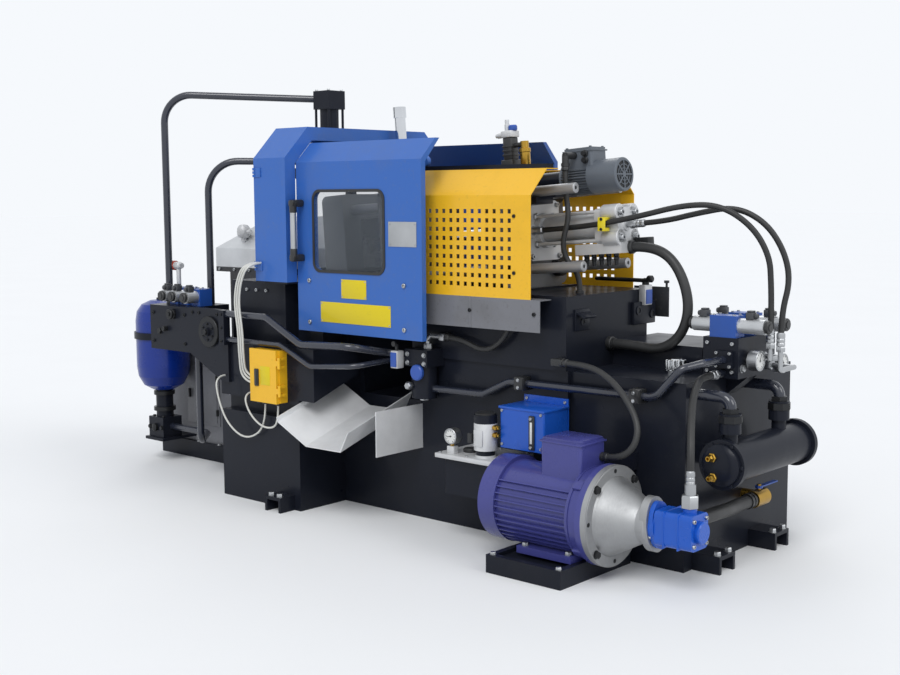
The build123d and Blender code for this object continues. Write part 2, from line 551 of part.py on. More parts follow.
front_low = pipe(low_points, [60, 60, 50, 30], 9.5)
FLANGE_MID_X = MAN_X0 + 76.0
FLANGE_MID_Z = TANK_Z + 58.0
outlet = pipe(
    [(390, FILTER_Y, 472), (640, -250, 472), (740, -240, 522), (1285, -226, 522),
     (1372, -226, 616), (FLANGE_MID_X, -165, FLANGE_MID_Z), (FLANGE_MID_X, MAN_Y0 - 12, FLANGE_MID_Z)],
    [60, 60, 60, 30, 30], 12,
) - bowl

# Chute for the castings, sloping down to the operator side, and a skirt plate beside it
CHUTE_TILT = 18.0
CHUTE_Y = -520.0
CHUTE_Z = 270.0
chute_out = [
    (-53, 362), (-53, 345), (62, 266), (232, 268), (295, 346),
    (299, 346), (234, 264), (60, 262), (BED_X0, 342), (BED_X0, 362),
]
chute = Rot(CHUTE_TILT, 0, 0) * prism_y([(x, z - CHUTE_Z) for x, z in chute_out], 0, 330)
chute = Pos(0, CHUTE_Y, CHUTE_Z) * chute
save(Compound([chute, box(334, 337, -450, -BED_LOW_Y, 250, 405)]), "chute")

# Control box with its door on two pin hinges
HINGE_X = -109.0
HINGE_Y = -LEFT_Y - 43.0
HINGE_R = 6.0
PIN_R = 3.0
PIN_GAP = 0.05
BOX_X0 = -260.0
BOX_X1 = -115.0
BOX_Z0 = 390.0
BOX_Z1 = 578.0
BOX_Y0 = -LEFT_Y - 35.0
control_box = box(BOX_X0, BOX_X1, BOX_Y0, -LEFT_Y, BOX_Z0, BOX_Z1)
box_door = box(BOX_X0 - 2, BOX_X1 - 4, BOX_Y0 - 14, BOX_Y0 - 0.5, BOX_Z0 - 2, BOX_Z1 + 2)
for z in (BOX_Z0 + 35, BOX_Z0 + 135):
    for lug_z in (z - 10, z + 20):
        lug = rod_z(HINGE_R, lug_z, lug_z + 10, HINGE_X, HINGE_Y)
        control_box = control_box + lug + box(HINGE_X - 4, HINGE_X + 2, HINGE_Y, -460, lug_z, lug_z + 10)
        control_box = control_box + box(BOX_X1 - 1, HINGE_X, -466, -460, lug_z, lug_z + 10)
    control_box = control_box + rod_z(PIN_R, z - 1, z + 21, HINGE_X, HINGE_Y)
    leaf = box(BOX_X1 - 7, HINGE_X, HINGE_Y - 6, HINGE_Y - 3, z + 0.3, z + 20)
    barrel = rod_z(HINGE_R, z, z + 19.7, HINGE_X, HINGE_Y) + leaf
    box_door = box_door + barrel - rod_z(PIN_R + PIN_GAP, z - 1, z + 21, HINGE_X, HINGE_Y)
save(control_box, "control_box")
save(box_door, "control_box_door")

# Lubrication unit: oil box with a lid plate and a small motor; blue oil tank beside it
LID_Z = 292.0
lube = box(570, 822, -412, -BED_LOW_Y, LID_Z - 12, LID_Z)
lube = lube + fillet(box(592, 800, -396, -250, 160, LID_Z - 12).edges().filter_by(Axis.Z), 10)
lube = lube + rod_z(30, LID_Z, LID_Z + 24, 738, -358) + rod_z(37, LID_Z + 24, 430, 738, -358)
save(lube, "lube_unit")
lube_tank = fillet(box(789, 965, -350, -BED_LOW_Y - 4, 330, 461).edges().filter_by(Axis.Z), 8)
save(lube_tank + box(789, 965, -BED_LOW_Y - 4, -BED_LOW_Y, 330, 485), "lube_tank")

# Gauges: two on the manifold, one on the lubrication unit
GAUGE_R = 31.0
gauge_a = rod_x(GAUGE_R, MAN_X1 + 14, MAN_X1 + 42, 25, TANK_Z + 54) + rod_x(8, MAN_X1, MAN_X1 + 14, 25, TANK_Z + 54)
gauge_b = rod_x(GAUGE_R, MAN_X1 - 20, MAN_X1 + 8, MAN_Y1 + 44, TANK_Z + 22)
gauge_b = gauge_b + rod_y(8, MAN_Y1, MAN_Y1 + 44, MAN_X1 - 10, TANK_Z + 22)
gauge_c = rod_y(26, -396, -370, 622, LID_Z + 58) + rod_z(7, LID_Z, LID_Z + 58, 622, -383)
save(Compound([gauge_a, gauge_b, gauge_c]), "pressure_gauges")

# Filler cap with lobes on the tank lid
CAP_X = 1227.0
CAP_Y = -36.0
filler = rod_z(34, TANK_Z, TANK_Z + 10, CAP_X, CAP_Y) + rod_z(30, TANK_Z + 10, TANK_Z + 30, CAP_X, CAP_Y)
for k in range(6):
    angle = math.radians(60 * k)
    filler = filler + rod_z(9, TANK_Z + 10, TANK_Z + 30, CAP_X + 30 * math.cos(angle), CAP_Y + 30 * math.sin(angle))
save(filler, "filler_cap")

# Main motor, bell housing and pump along X
FLANGE_X = 1242.0
FLANGE_R = 150.0
MOTOR_R = 122.0
motor = rod_x(MOTOR_R, 905, FLANGE_X - 20, MOTOR_Y, MOTOR_Z) + rod_x(132, 847, 908, MOTOR_Y, MOTOR_Z)
motor = motor + rod_x(136, 1180, FLANGE_X - 20, MOTOR_Y, MOTOR_Z)
motor = motor + rod_x(FLANGE_R, FLANGE_X - 20, FLANGE_X, MOTOR_Y, MOTOR_Z)
RIBS = 40
RIB_H = 10.0
for k in range(RIBS):
    turn = 360.0 * k / RIBS
    if turn > 315 or turn < 225:
        rib = Pos(0, 0, MOTOR_R + RIB_H / 2 - 1) * Box(1180 - 908, 3.4, RIB_H + 2)
        motor = motor + Pos((908 + 1180) / 2, MOTOR_Y, MOTOR_Z) * Rot(turn + 90, 0, 0) * rib
TERM_X0 = 1038.0
TERM_X1 = 1184.0
term = box(TERM_X0, TERM_X1, MOTOR_Y - 66, MOTOR_Y + 60, MOTOR_Z + 100, MOTOR_Z + 213)
motor = motor + fillet(term.edges().filter_by(Axis.Z), 10)
motor = motor + box(980, 1180, MOTOR_Y - 108, MOTOR_Y + 108, PEDESTAL_Z, PEDESTAL_Z + 22)
motor = motor + box(1000, 1160, MOTOR_Y - 62, MOTOR_Y + 62, PEDESTAL_Z + 20, PEDESTAL_Z + 60)
save(motor, "main_motor")
bell_points = [(0, 0), (FLANGE_R, 0), (FLANGE_R, 18), (118, 18), (60, 125), (60, 150), (48, 162), (0, 162)]
bell_profile = Plane.XZ * make_face(Polyline(*bell_points, close=True))
bell = Pos(FLANGE_X, MOTOR_Y, MOTOR_Z) * Rot(0, 90, 0) * revolve(bell_profile, Axis.Z)
save(bell, "bell_housing")
PUMP_X0 = FLANGE_X + 162.0
PUMP_X1 = PUMP_X0 + 138.0
PUMP_PORT_X = PUMP_X0 + 106.0
PUMP_PORT_Z = 322.0
pump = rod_x(50, PUMP_X0, PUMP_X0 + 18, MOTOR_Y, MOTOR_Z)
pump_body = box(PUMP_X0 + 18, PUMP_X1, MOTOR_Y - 45, MOTOR_Y + 45, MOTOR_Z - 50, MOTOR_Z + 52)
pump = pump + fillet(pump_body.edges().filter_by(Axis.X), 16) + rod_x(30, PUMP_X1, PUMP_X1 + 14, MOTOR_Y, MOTOR_Z)
pump = pump + rod_z(20, MOTOR_Z + 50, PUMP_PORT_Z - 30, PUMP_PORT_X, MOTOR_Y)
pump = pump + rod_z(14, PUMP_PORT_Z - 30, PUMP_PORT_Z, PUMP_PORT_X, MOTOR_Y)
SUCTION_X = PUMP_X0 + 78.0
SUCTION_Z = MOTOR_Z + 8.0
pump = pump + rod_y(27, MOTOR_Y + 44, MOTOR_Y + 71, SUCTION_X, SUCTION_Z)
save(pump, "pump")

# Oil cooler along the tank end on two brackets, with its branch nuts
COOLER_X = TANK_X1 + 122.0
COOLER_Z = 345.0
COOLER_R = 62.0
COOLER_Y0 = -218.0
COOLER_Y1 = 268.0
BRANCH_Z = 490.0
BRANCHES = (-160.0, 140.0)
cooler = rod_y(COOLER_R, COOLER_Y0, COOLER_Y1, COOLER_X, COOLER_Z)
cooler = cooler + rod_y(74, COOLER_Y0 + 10, COOLER_Y0 + 28, COOLER_X, COOLER_Z)
cooler = cooler + rod_y(74, COOLER_Y1 - 28, COOLER_Y1 - 10, COOLER_X, COOLER_Z)
for y in BRANCHES:
    cooler = cooler + rod_z(22, COOLER_Z, BRANCH_Z - 56, COOLER_X, y)
    cooler = cooler + rod_z(32, BRANCH_Z - 58, BRANCH_Z, COOLER_X, y)
for y in (-90, 90):
    cooler = cooler + box(TANK_X1, COOLER_X, y - 12, y + 12, COOLER_Z - 30, COOLER_Z + 30)
save(cooler, "oil_cooler")
branch_pipes = []
for y in BRANCHES:
    elbow = [(TANK_X1, y, BRANCH_Z + 46), (COOLER_X, y, BRANCH_Z + 46), (COOLER_X, y, BRANCH_Z)]
    branch_pipes.append(pipe(elbow, [32], 17))
save(Compound([pipe_top, pipe_low, pipe_down, front_high, front_low, outlet] + branch_pipes), "oil_pipes")

# Suction line: ball valve with its lever on the tank end
VALVE_X = TANK_X1 + 62.0
VALVE_Y = 135.0
VALVE_Z = 178.0
VALVE_Y0 = VALVE_Y - 43.0
STEM_R = 7.0
valve = rod_y(27, VALVE_Y0, VALVE_Y + 32, VALVE_X, VALVE_Z) + rod_x(18, TANK_X1, VALVE_X, VALVE_Y + 14, VALVE_Z)
valve = valve + rod_z(STEM_R, VALVE_Z, VALVE_Z + 42, VALVE_X, VALVE_Y)
save(valve, "ball_valve")
lever = box(VALVE_X - 8, VALVE_X + 8, VALVE_Y - 10, VALVE_Y + 110, VALVE_Z + 32, VALVE_Z + 36)
lever = lever + rod_z(12, VALVE_Z + 30, VALVE_Z + 38, VALVE_X, VALVE_Y)
lever = lever - rod_z(STEM_R + SLIDE_GAP, VALVE_Z + 20, VALVE_Z + 50, VALVE_X, VALVE_Y)
save(lever, "valve_lever")

# Hose ends: steel crimps, elbows and glands that the hoses and cables butt against
HOSE_R = 9.0
A_OUT = 64.0             # how far the first hose stands off the manifold
B_OUT = 90.0
A_PORT_Z = TANK_Z + 58.0
B_PORT_Z = TANK_Z + 26.0
A_PORT_Y = 112.0
B_PORT_Y = 152.0
A_X, A_Y, A_Z = MAN_X1 + A_OUT, 48.0, A_PORT_Z + 64.0
B_X, B_Y, B_Z = MAN_X1 + B_OUT, 62.0, B_PORT_Z + 86.0
PORT_S = HEAD_S1 + 24.0
PORT_Y = -74.0
CAP_PORT_S = CAP_S1 + 50.0
CAP_PORT_Y = -10.0
a_elbow = [(A_X, A_Y, A_Z - 39), (A_X, A_Y, A_PORT_Z), (A_X, A_PORT_Y, A_PORT_Z), (MAN_X1, A_PORT_Y, A_PORT_Z)]
b_elbow = [(B_X, B_Y, B_Z - 55), (B_X, B_Y, B_PORT_Z), (B_X, B_PORT_Y, B_PORT_Z), (MAN_X1, B_PORT_Y, B_PORT_Z)]
ends = [
    tilted(rod_x(11, HEAD_S1, PORT_S, PORT_Y, 0)),
    tilted(rod_x(11, CAP_S1, CAP_PORT_S, CAP_PORT_Y, 0)),
    rod_z(11, A_Z - 40, A_Z, A_X, A_Y) + pipe(a_elbow, [10, 10], 8),
    rod_z(11, B_Z - 56, B_Z, B_X, B_Y) + pipe(b_elbow, [10, 10], 8),
    box(458, 482, -272, -BED_TOP_Y, 638, 662),
    rod_y(12, -262, -BED_TOP_Y, 940, 604) + box(928, 985, -270, -246, 592, 616),
]
CONDUIT_TOP = on_axis(872, -42, 232)
conduit_elbow = rod_y(11, -92, CONDUIT_TOP[1], CONDUIT_TOP[0], CONDUIT_TOP[2])
conduit_elbow = conduit_elbow + rod_z(11, CONDUIT_TOP[2] - 46, CONDUIT_TOP[2], CONDUIT_TOP[0], -92)
conduit_elbow = conduit_elbow + Pos(CONDUIT_TOP[0], -92, CONDUIT_TOP[2]) * Sphere(11)
save(Compound(ends + [conduit_elbow]), "hose_ends")

# Hydraulic hoses of the clamp cylinder, from its two ports over to the manifold
hose_a = [
    on_axis(PORT_S, PORT_Y, 0), on_axis(PORT_S + 126, PORT_Y, 0), (980, -72, 1031), (1120, -68, 1056),
    (1262, -52, 1090), (1375, -25, 1092), (1462, 15, 1030), (1508, 42, 940), (1513, 46, 852),
    (A_X, A_Y, 772), (A_X, A_Y, A_Z),
]
hose_b = [
    on_axis(CAP_PORT_S, CAP_PORT_Y, 0), on_axis(CAP_PORT_S + 90, CAP_PORT_Y, 0), (1290, -4, 1066),
    (1400, 20, 1086), (1487, 46, 1042), (1538, 70, 960), (1558, 80, 868), (B_X, B_Y, 766), (B_X, B_Y, B_Z),
]
save(Compound([hose(hose_a, HOSE_R, "clamp hose a"), hose(hose_b, HOSE_R, "clamp hose b")]), "clamp_hoses")

# Sleeved cable bundle from the cable block down to the end of the bed
BUNDLE_Y = 5.0
BUNDLE_Z = 642.0
bundle = [
    on_axis(BLOCK_S1, BUNDLE_Y, -73), on_axis(BLOCK_S1 + 82, BUNDLE_Y, -73), (1212, BUNDLE_Y, 912),
    (1262, BUNDLE_Y, 792), (1238, BUNDLE_Y, 688), (1160, BUNDLE_Y, 632), (1055, BUNDLE_Y, BUNDLE_Z),
    (BED_X1, BUNDLE_Y, BUNDLE_Z),
]
conduits = [hose(bundle, 16.0, "cable bundle")]

# Black conduit from the die-height motor down to the bed
conduit = [
    (CONDUIT_TOP[0], -92, CONDUIT_TOP[2] - 46), (CONDUIT_TOP[0], -92, CONDUIT_TOP[2] - 110), (874, -98, 1050),
    (846, -98, 975), (850, -82, 912), (904, -80, 868), (904, -80, BED_TOP_Z),
]
conduits.append(hose(conduit, 9.0, "drive conduit"))

# Hose that sags under the apron, and the conduit to the main motor
sag = [
    (482, -256, 650), (545, -256, 650), (640, -256, 614), (715, -256, 642), (766, -256, 716),
    (766, -256, GUARD_Z0 - SHEET),
]
conduits.append(hose(sag, 9.0, "apron hose"))
bed_line = [
    (985, -258, 604), (1068, -258, 604), (1150, -266, 572), (1226, -292, 524), (1288, -318, 456),
    (1292, -340, 394), (1246, -354, 352), (TERM_X1, -354, 352),
]
conduits.append(hose(bed_line, 10.0, "motor conduit"))

# Pressure hose from the pump up to the manifold, and the suction hose to the ball valve
pressure = [
    (PUMP_PORT_X, MOTOR_Y, PUMP_PORT_Z), (PUMP_PORT_X, MOTOR_Y, PUMP_PORT_Z + 82), (1482, -350, 478),
    (1450, -290, 540), (1426, -222, 580), (MAN_PORT_X, -146, MAN_PORT_Z),
    (MAN_PORT_X, MAN_Y0 - 45, MAN_PORT_Z),
]
save(hose(pressure, 11.0, "pump_hose"), "pump_hose")
suction = [
    (SUCTION_X, MOTOR_Y + 71, SUCTION_Z), (SUCTION_X, -215, SUCTION_Z), (1466, -100, 188), (VALVE_X, 5, VALVE_Z),
    (VALVE_X, VALVE_Y0, VALVE_Z),
]
save(hose(suction, 21.0, "suction_hose"), "suction_hose")

# White cables from the hood down to the control box, and black loops under the valve bracket
strands = []
for k in range(3):
    dx = 12.0 * k
    strand = [
        (-268 - dx, -HOOD_Y, 884), (-268 - dx, -HOOD_Y - 62, 884), (-306 - dx, -488, 822), (-322 - dx, -488, 735),
        (-306 - dx, -486, 640), (-314 - dx, -478, 550), (-322 - dx, -461, 470 - dx), (BOX_X0, -461, 470 - dx),
    ]
    strands.append(hose(strand, 4.0, "white_cables"))
save(Compound(strands), "white_cables")
loop_one = [
    (-452, VBLOCK_Y0, 460), (-452, VBLOCK_Y0 - 46, 460), (-440, -500, 380), (-405, -490, 290), (-330, -474, 236),
    (-252, -461, 262), (-216, -461, 330), (-216, -461, BOX_Z0),
]
loop_two = [
    (-300, -LEFT_Y, 412), (-300, -LEFT_Y - 48, 412), (-286, -486, 345), (-228, -474, 292), (-166, -461, 292),
    (-146, -461, 340), (-146, -461, BOX_Z0),
]
conduits.append(hose(loop_one, 3.5, "loop one"))
conduits.append(hose(loop_two, 3.5, "loop two"))
save(Compound(conduits), "conduits")
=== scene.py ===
from itertools import product
from math import cos, pi, radians, sin, tau

import bmesh
import bpy
from mathutils import Matrix, Vector


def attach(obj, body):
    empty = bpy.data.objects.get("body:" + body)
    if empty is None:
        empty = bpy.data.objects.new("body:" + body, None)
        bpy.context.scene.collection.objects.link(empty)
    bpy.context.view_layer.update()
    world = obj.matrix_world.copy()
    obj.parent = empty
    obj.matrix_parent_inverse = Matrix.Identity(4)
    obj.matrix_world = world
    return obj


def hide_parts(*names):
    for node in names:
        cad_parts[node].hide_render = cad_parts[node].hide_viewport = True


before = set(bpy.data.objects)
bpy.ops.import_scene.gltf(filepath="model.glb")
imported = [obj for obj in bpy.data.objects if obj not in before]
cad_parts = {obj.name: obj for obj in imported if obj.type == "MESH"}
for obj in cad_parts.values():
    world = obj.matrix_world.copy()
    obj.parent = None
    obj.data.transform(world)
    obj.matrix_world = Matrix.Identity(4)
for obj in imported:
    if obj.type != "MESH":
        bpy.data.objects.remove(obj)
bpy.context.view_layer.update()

# Camera: on the operator side past the oil tank, 1.13 m above the floor, looking back along the
# machine and a little down.
CAMERA_AT = Vector((3.31319, -3.42996, 1.130))
TURN = radians(41.57)
DOWN = radians(6.45)
ROLL = radians(-0.371)

lens = bpy.data.cameras.new("camera")
lens.sensor_fit = "HORIZONTAL"
lens.sensor_width = 36.0
lens.lens = 50.96
lens.clip_start = 0.05
lens.clip_end = 100.0
camera = bpy.data.objects.new("camera", lens)
camera.matrix_world = (
    Matrix.Translation(CAMERA_AT) @ Matrix.Rotation(TURN, 4, "Z")
    @ Matrix.Rotation(pi / 2 - DOWN, 4, "X") @ Matrix.Rotation(ROLL, 4, "Z")
)
bpy.context.scene.collection.objects.link(camera)
bpy.context.scene.camera = camera
bpy.context.scene.view_settings.view_transform = "Standard"


# Floor and light: a plain pale studio floor that runs out to a backdrop, broad soft light from high on
# the operator side, weaker light from the tank end, and a pale sky that fills the shadows.
def linear(code):
    """The linear colour of an sRGB hex value."""
    parts = [int(code[i:i + 2], 16) / 255 for i in (1, 3, 5)]
    return tuple(c / 12.92 if c <= 0.04045 else ((c + 0.055) / 1.055) ** 2.4 for c in parts) + (1.0,)


def add(tree, kind, settings=None, links=None):
    """Adds a shader node, with its settings and what feeds its sockets."""
    node = tree.nodes.new("ShaderNode" + kind)
    for key, value in (settings or {}).items():
        if isinstance(key, int) or key in node.inputs:
            node.inputs[key].default_value = value
        else:
            setattr(node, key, value)
    for key, (source, output) in (links or {}).items():
        tree.links.new(source.outputs[output], node.inputs[key])
    return node


def blank(name):
    """An empty material with nodes."""
    made = bpy.data.materials.new(name)
    made.use_nodes = True
    made.node_tree.nodes.clear()
    return made, made.node_tree


FLOOR_GREY = "#EEEFF0"
BACKDROP_GREY = "#F6F9FD"
studio, tree = blank("pale studio paint")
coords = add(tree, "TexCoord")
mottle = add(tree, "TexNoise", {"Scale": 1.5, "Detail": 3.0}, {"Vector": (coords, "Object")})
pale = {"data_type": "RGBA", 6: linear(FLOOR_GREY), 7: linear("#F1F2F3")}
tone = add(tree, "Mix", pale, {0: (mottle, 0)})
matt = add(tree, "BsdfPrincipled", {"Roughness": 0.8, "Specular IOR Level": 0.0}, {"Base Color": (tone, 2)})
add(tree, "OutputMaterial", {}, {"Surface": (matt, 0)})

floor_mesh = bpy.data.meshes.new("studio_floor")
bm = bmesh.new()
bmesh.ops.create_grid(bm, x_segments=1, y_segments=1, size=60.0)
bm.to_mesh(floor_mesh)
bm.free()
floor_mesh.materials.append(studio)
floor = bpy.data.objects.new("studio_floor", floor_mesh)
bpy.context.scene.collection.objects.link(floor)

world = bpy.data.worlds.new("studio sky")
bpy.context.scene.world = world
world.use_nodes = True
world.node_tree.nodes.clear()
tree = world.node_tree
seen_by = add(tree, "LightPath")
through = add(
    tree, "Math", {"operation": "MAXIMUM"},
    {0: (seen_by, "Is Camera Ray"), 1: (seen_by, "Is Transmission Ray")},
)
shown = add(tree, "Math", {"operation": "MAXIMUM"}, {0: (through, 0), 1: (seen_by, "Is Glossy Ray")})
sky_light = add(tree, "Background", {"Color": linear("#E8ECF2"), "Strength": 0.62})
sky_seen = add(tree, "Background", {"Color": linear(BACKDROP_GREY), "Strength": 1.0})
both = add(tree, "MixShader", {}, {0: (shown, 0), 1: (sky_light, 0), 2: (sky_seen, 0)})
add(tree, "OutputWorld", {}, {"Surface": (both, 0)})

SOFTNESS = radians(32)
SUNS = (
    ("key_sun", (1.4, -3.0, 3.4), 1.5),
    ("tank_end_sun", (3.6, 0.4, 2.2), 0.75),
    ("far_sun", (-2.4, 2.6, 3.0), 0.45),
)
for name, place, watts in SUNS:
    sun = bpy.data.lights.new(name, "SUN")
    sun.angle = SOFTNESS
    sun.energy = watts
    holder = bpy.data.objects.new(name, sun)
    holder.location = place
    holder.rotation_euler = (-Vector(place)).to_track_quat("-Z", "Y").to_euler()
    bpy.context.scene.collection.objects.link(holder)


# Bed: welded steel plate, filled and sprayed in very dark blue-grey gloss enamel, with the dust and
# oil of a foundry on it. The casting side is one block with a set-back column, the clamp side a trough.
def enamel(name, slot, paint, soil, share, rough, coat=0.35, gloss=0.25):
    """Sprayed enamel: an even gloss coat with a fine orange peel, clouded by dust and oil."""
    made, tree = blank(name)
    coords = add(tree, "TexCoord")
    at = {"Vector": (coords, "Object")}
    cloud = add(tree, "TexNoise", {"Scale": 5.0, "Detail": 6.0, "Roughness": 0.62}, at)
    speck = add(tree, "TexNoise", {"Scale": 85.0, "Detail": 3.0}, at)
    patch = add(tree, "MapRange", {1: 0.50, 2: 0.74, 3: 0.0, 4: share}, {0: (cloud, 0)})
    spots = add(tree, "MapRange", {1: 0.60, 2: 0.72, 3: 0.0, 4: share * 0.8}, {0: (speck, 0)})
    dirt = add(tree, "Math", {"operation": "ADD"}, {0: (patch, 0), 1: (spots, 0)})
    colour = add(tree, "Mix", {"data_type": "RGBA", 6: linear(paint), 7: linear(soil)}, {0: (dirt, 0)})
    dull = add(tree, "MapRange", {1: 0.3, 2: 0.8, 3: rough - 0.05, 4: rough + 0.22}, {0: (cloud, 0)})
    peel = add(tree, "TexNoise", {"Scale": 260.0, "Detail": 1.0}, at)
    skin = add(tree, "Bump", {"Strength": 0.05, "Distance": 0.0006}, {"Height": (peel, 0)})
    paint_coat = {"Coat Weight": coat, "Coat Roughness": 0.12, "Specular IOR Level": gloss}
    fed = {"Base Color": (colour, 2), "Roughness": (dull, 0), "Normal": (skin, 0)}
    shader = add(tree, "BsdfPrincipled", paint_coat, fed)
    add(tree, "OutputMaterial", {}, {"Surface": (shader, 0)})
    return made, slot


def dress(finish, *nodes):
    """Gives CAD nodes their finish, a material with the name of its slot."""
    for node in nodes:
        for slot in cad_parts[node].material_slots:
            slot.material = finish[0]


bed_enamel = enamel("dark blue-grey gloss enamel", "bed_paint", "#1A1D26", "#2E2E2E", 0.2, 0.30, 0.1, 0.12)
dress(bed_enamel, "bed_left", "bed_middle", "bed_console")


def piece(name, bm, finish, body="machine", instead_of=()):
    """Makes a bmesh a piece of the machine, with its finish, that rides on a body."""
    bmesh.ops.recalc_face_normals(bm, faces=bm.faces)
    mesh = bpy.data.meshes.new(name)
    bm.to_mesh(mesh)
    bm.free()
    mesh.materials.append(finish[0])
    mesh.shade_smooth()
    mesh.set_sharp_from_angle(angle=radians(35))
    made = bpy.data.objects.new(name, mesh)
    bpy.context.scene.collection.objects.link(made)
    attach(made, body)
    if instead_of:
        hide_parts(*instead_of)


def block(bm, low, high, bevel=0.0, turned=None):
    """Adds a block between two corners, in millimetres, with its edges rounded, turned where asked."""
    low, high = Vector(low) / 1000, Vector(high) / 1000
    placed = Matrix.Translation((low + high) / 2) @ Matrix.Diagonal((*(high - low), 1.0))
    made = bmesh.ops.create_cube(bm, size=1.0, matrix=(turned or Matrix.Identity(4)) @ placed)
    if bevel:
        corners = set(made["verts"])
        edges = [e for e in bm.edges if e.verts[0] in corners]
        bmesh.ops.bevel(
            bm, geom=edges, offset=bevel / 1000, segments=2, profile=0.5, affect="EDGES", material=-1,
        )


AXES = {
    "x": Matrix.Rotation(radians(90), 4, "Y"), "-x": Matrix.Rotation(radians(-90), 4, "Y"),
    "y": Matrix.Rotation(radians(-90), 4, "X"), "-y": Matrix.Rotation(radians(90), 4, "X"),
    "z": Matrix.Identity(4), "-z": Matrix.Rotation(radians(180), 4, "X"),
}


def lathe(bm, profile, place, axis="z", steps=32, tilt=None):
    """Adds a turned part: a profile of (radius, height) in millimetres, spun about an axis at a place.

    A profile that doesn't end where it starts runs in to the axis at both ends.
    """
    if profile[0] != profile[-1]:
        profile = list(dict.fromkeys([(0, profile[0][1]), *profile, (0, profile[-1][1])]))
    verts = [bm.verts.new((r / 1000, 0, h / 1000)) for r, h in profile]
    edges = [bm.edges.new(pair) for pair in zip(verts, verts[1:])]
    bmesh.ops.spin(
        bm, geom=verts + edges, cent=(0, 0, 0), axis=(0, 0, 1), dvec=(0, 0, 0), angle=tau,
        steps=steps, use_merge=True,
    )
    reached = set(verts)
    front = set(verts)
    while front:
        front = {e.other_vert(v) for v in front for e in v.link_edges} - reached
        reached |= front
    made = [v for v in bm.verts if v in reached]
    placed = Matrix.Translation(Vector(place) / 1000) @ (tilt or Matrix.Identity(4)) @ AXES[axis]
    bmesh.ops.transform(bm, matrix=placed, verts=made)
    bmesh.ops.remove_doubles(bm, verts=made, dist=0.00002)


def pin(bm, radius, height, place, axis="z", steps=32, tilt=None):
    """Adds a plain round pin that stands on a place."""
    lathe(bm, [(radius, 0), (radius, height)], place, axis, steps, tilt)


def ring(inner, outer, low, high):
    """The closed profile of a ring."""
    return [(inner, low), (outer, low), (outer, high), (inner, high), (inner, low)]


def circle(count, radius, first=0):
    """The offsets of the places on a bolt circle, in millimetres, from a first angle on, in degrees."""
    turns = [radians(first + 360 / count * k) for k in range(count)]
    return [(radius * cos(turn), radius * sin(turn)) for turn in turns]


def screw(bm, place, axis, radius, height, tilt=None):
    """Adds the head of a socket cap screw, with its hollow."""
    hollow = radius * 0.5
    rounded = [(radius * 0.9, height), (radius, height * 0.85), (radius, 0)]
    profile = [(hollow, height * 0.4), (hollow, height), *rounded]
    lathe(bm, profile, place, axis, 12, tilt)


def hex_head(bm, place, axis, radius, height):
    """Adds a hexagon head or nut on a washer."""
    head = [(radius * 0.9, height), (radius, height * 0.85), (radius, 1)]
    lathe(bm, head, place, axis, 6)
    pin(bm, radius * 1.2, 1.2, place, axis, 16)


def screws(bm, place, axis, radius, height, head=screw):
    """Adds like screws at a place whose coordinates may each be a row of values."""
    rows = [row if isinstance(row, tuple) else (row,) for row in place]
    for spot in product(*rows):
        head(bm, spot, axis, radius, height)


def steel(name, slot, colour, rough, spread, scale=(1.0, 1.0, 1.0), metallic=1.0):
    """Bare metal with tool marks, long where an axis has a small scale, and patches of dulling."""
    made, tree = blank(name)
    coords = add(tree, "TexCoord")
    at = {"Vector": (coords, "Object")}
    laid = add(tree, "Mapping", {"Scale": scale}, at)
    marks = add(tree, "TexNoise", {"Scale": 420.0, "Detail": 2.0}, {"Vector": (laid, 0)})
    cloud = add(tree, "TexNoise", {"Scale": 9.0, "Detail": 5.0}, at)
    dark = tuple(c * 0.72 for c in linear(colour)[:3]) + (1.0,)
    faded = add(tree, "MapRange", {1: 0.35, 2: 0.75, 3: 0.0, 4: 0.7}, {0: (cloud, 0)})
    tint = add(tree, "Mix", {"data_type": "RGBA", 6: linear(colour), 7: dark}, {0: (faded, 0)})
    sum_up = add(tree, "Math", {"operation": "MULTIPLY_ADD", 1: 0.5}, {0: (marks, 0), 2: (cloud, 0)})
    dull = add(tree, "MapRange", {1: 0.4, 2: 1.1, 3: rough - spread, 4: rough + spread}, {0: (sum_up, 0)})
    relief = add(tree, "Bump", {"Strength": 0.12, "Distance": 0.0004}, {"Height": (marks, 0)})
    fed = {"Base Color": (tint, 2), "Roughness": (dull, 0), "Normal": (relief, 0)}
    shader = add(tree, "BsdfPrincipled", {"Metallic": metallic}, fed)
    add(tree, "OutputMaterial", {}, {"Surface": (shader, 0)})
    return made, slot


# Screws, which hold every cover and flange: zinc-plated steel, pale with a soft shine, and steel
# blackened in oil, which stays dark in the sun. The first ones bolt the bed down and its covers on.
zinc = steel("zinc-plated steel", "bare_steel", "#B4B6B8", 0.36, 0.08)
# The black oxide steel also paints shade: flat dark discs in it stand for the insides of bores and open
# holes.
black_oxide_and_hole_shade = steel("black oxide steel", "black_steel", "#2A2B2D", 0.42, 0.08, metallic=0.6)

bm = bmesh.new()
screws(bm, ((-152, -108), (-495, 495), 55), "z", 11, 12, hex_head)
screws(bm, (1456, (-144, -80, 202, 266), 55), "z", 11, 12, hex_head)
for y, way in ((-380, "-y"), (380, "y")):
    screws(bm, ((-455, -400, -345, -290), y, 780), way, 6.5, 7)
piece("bed_bolts", bm, zinc)

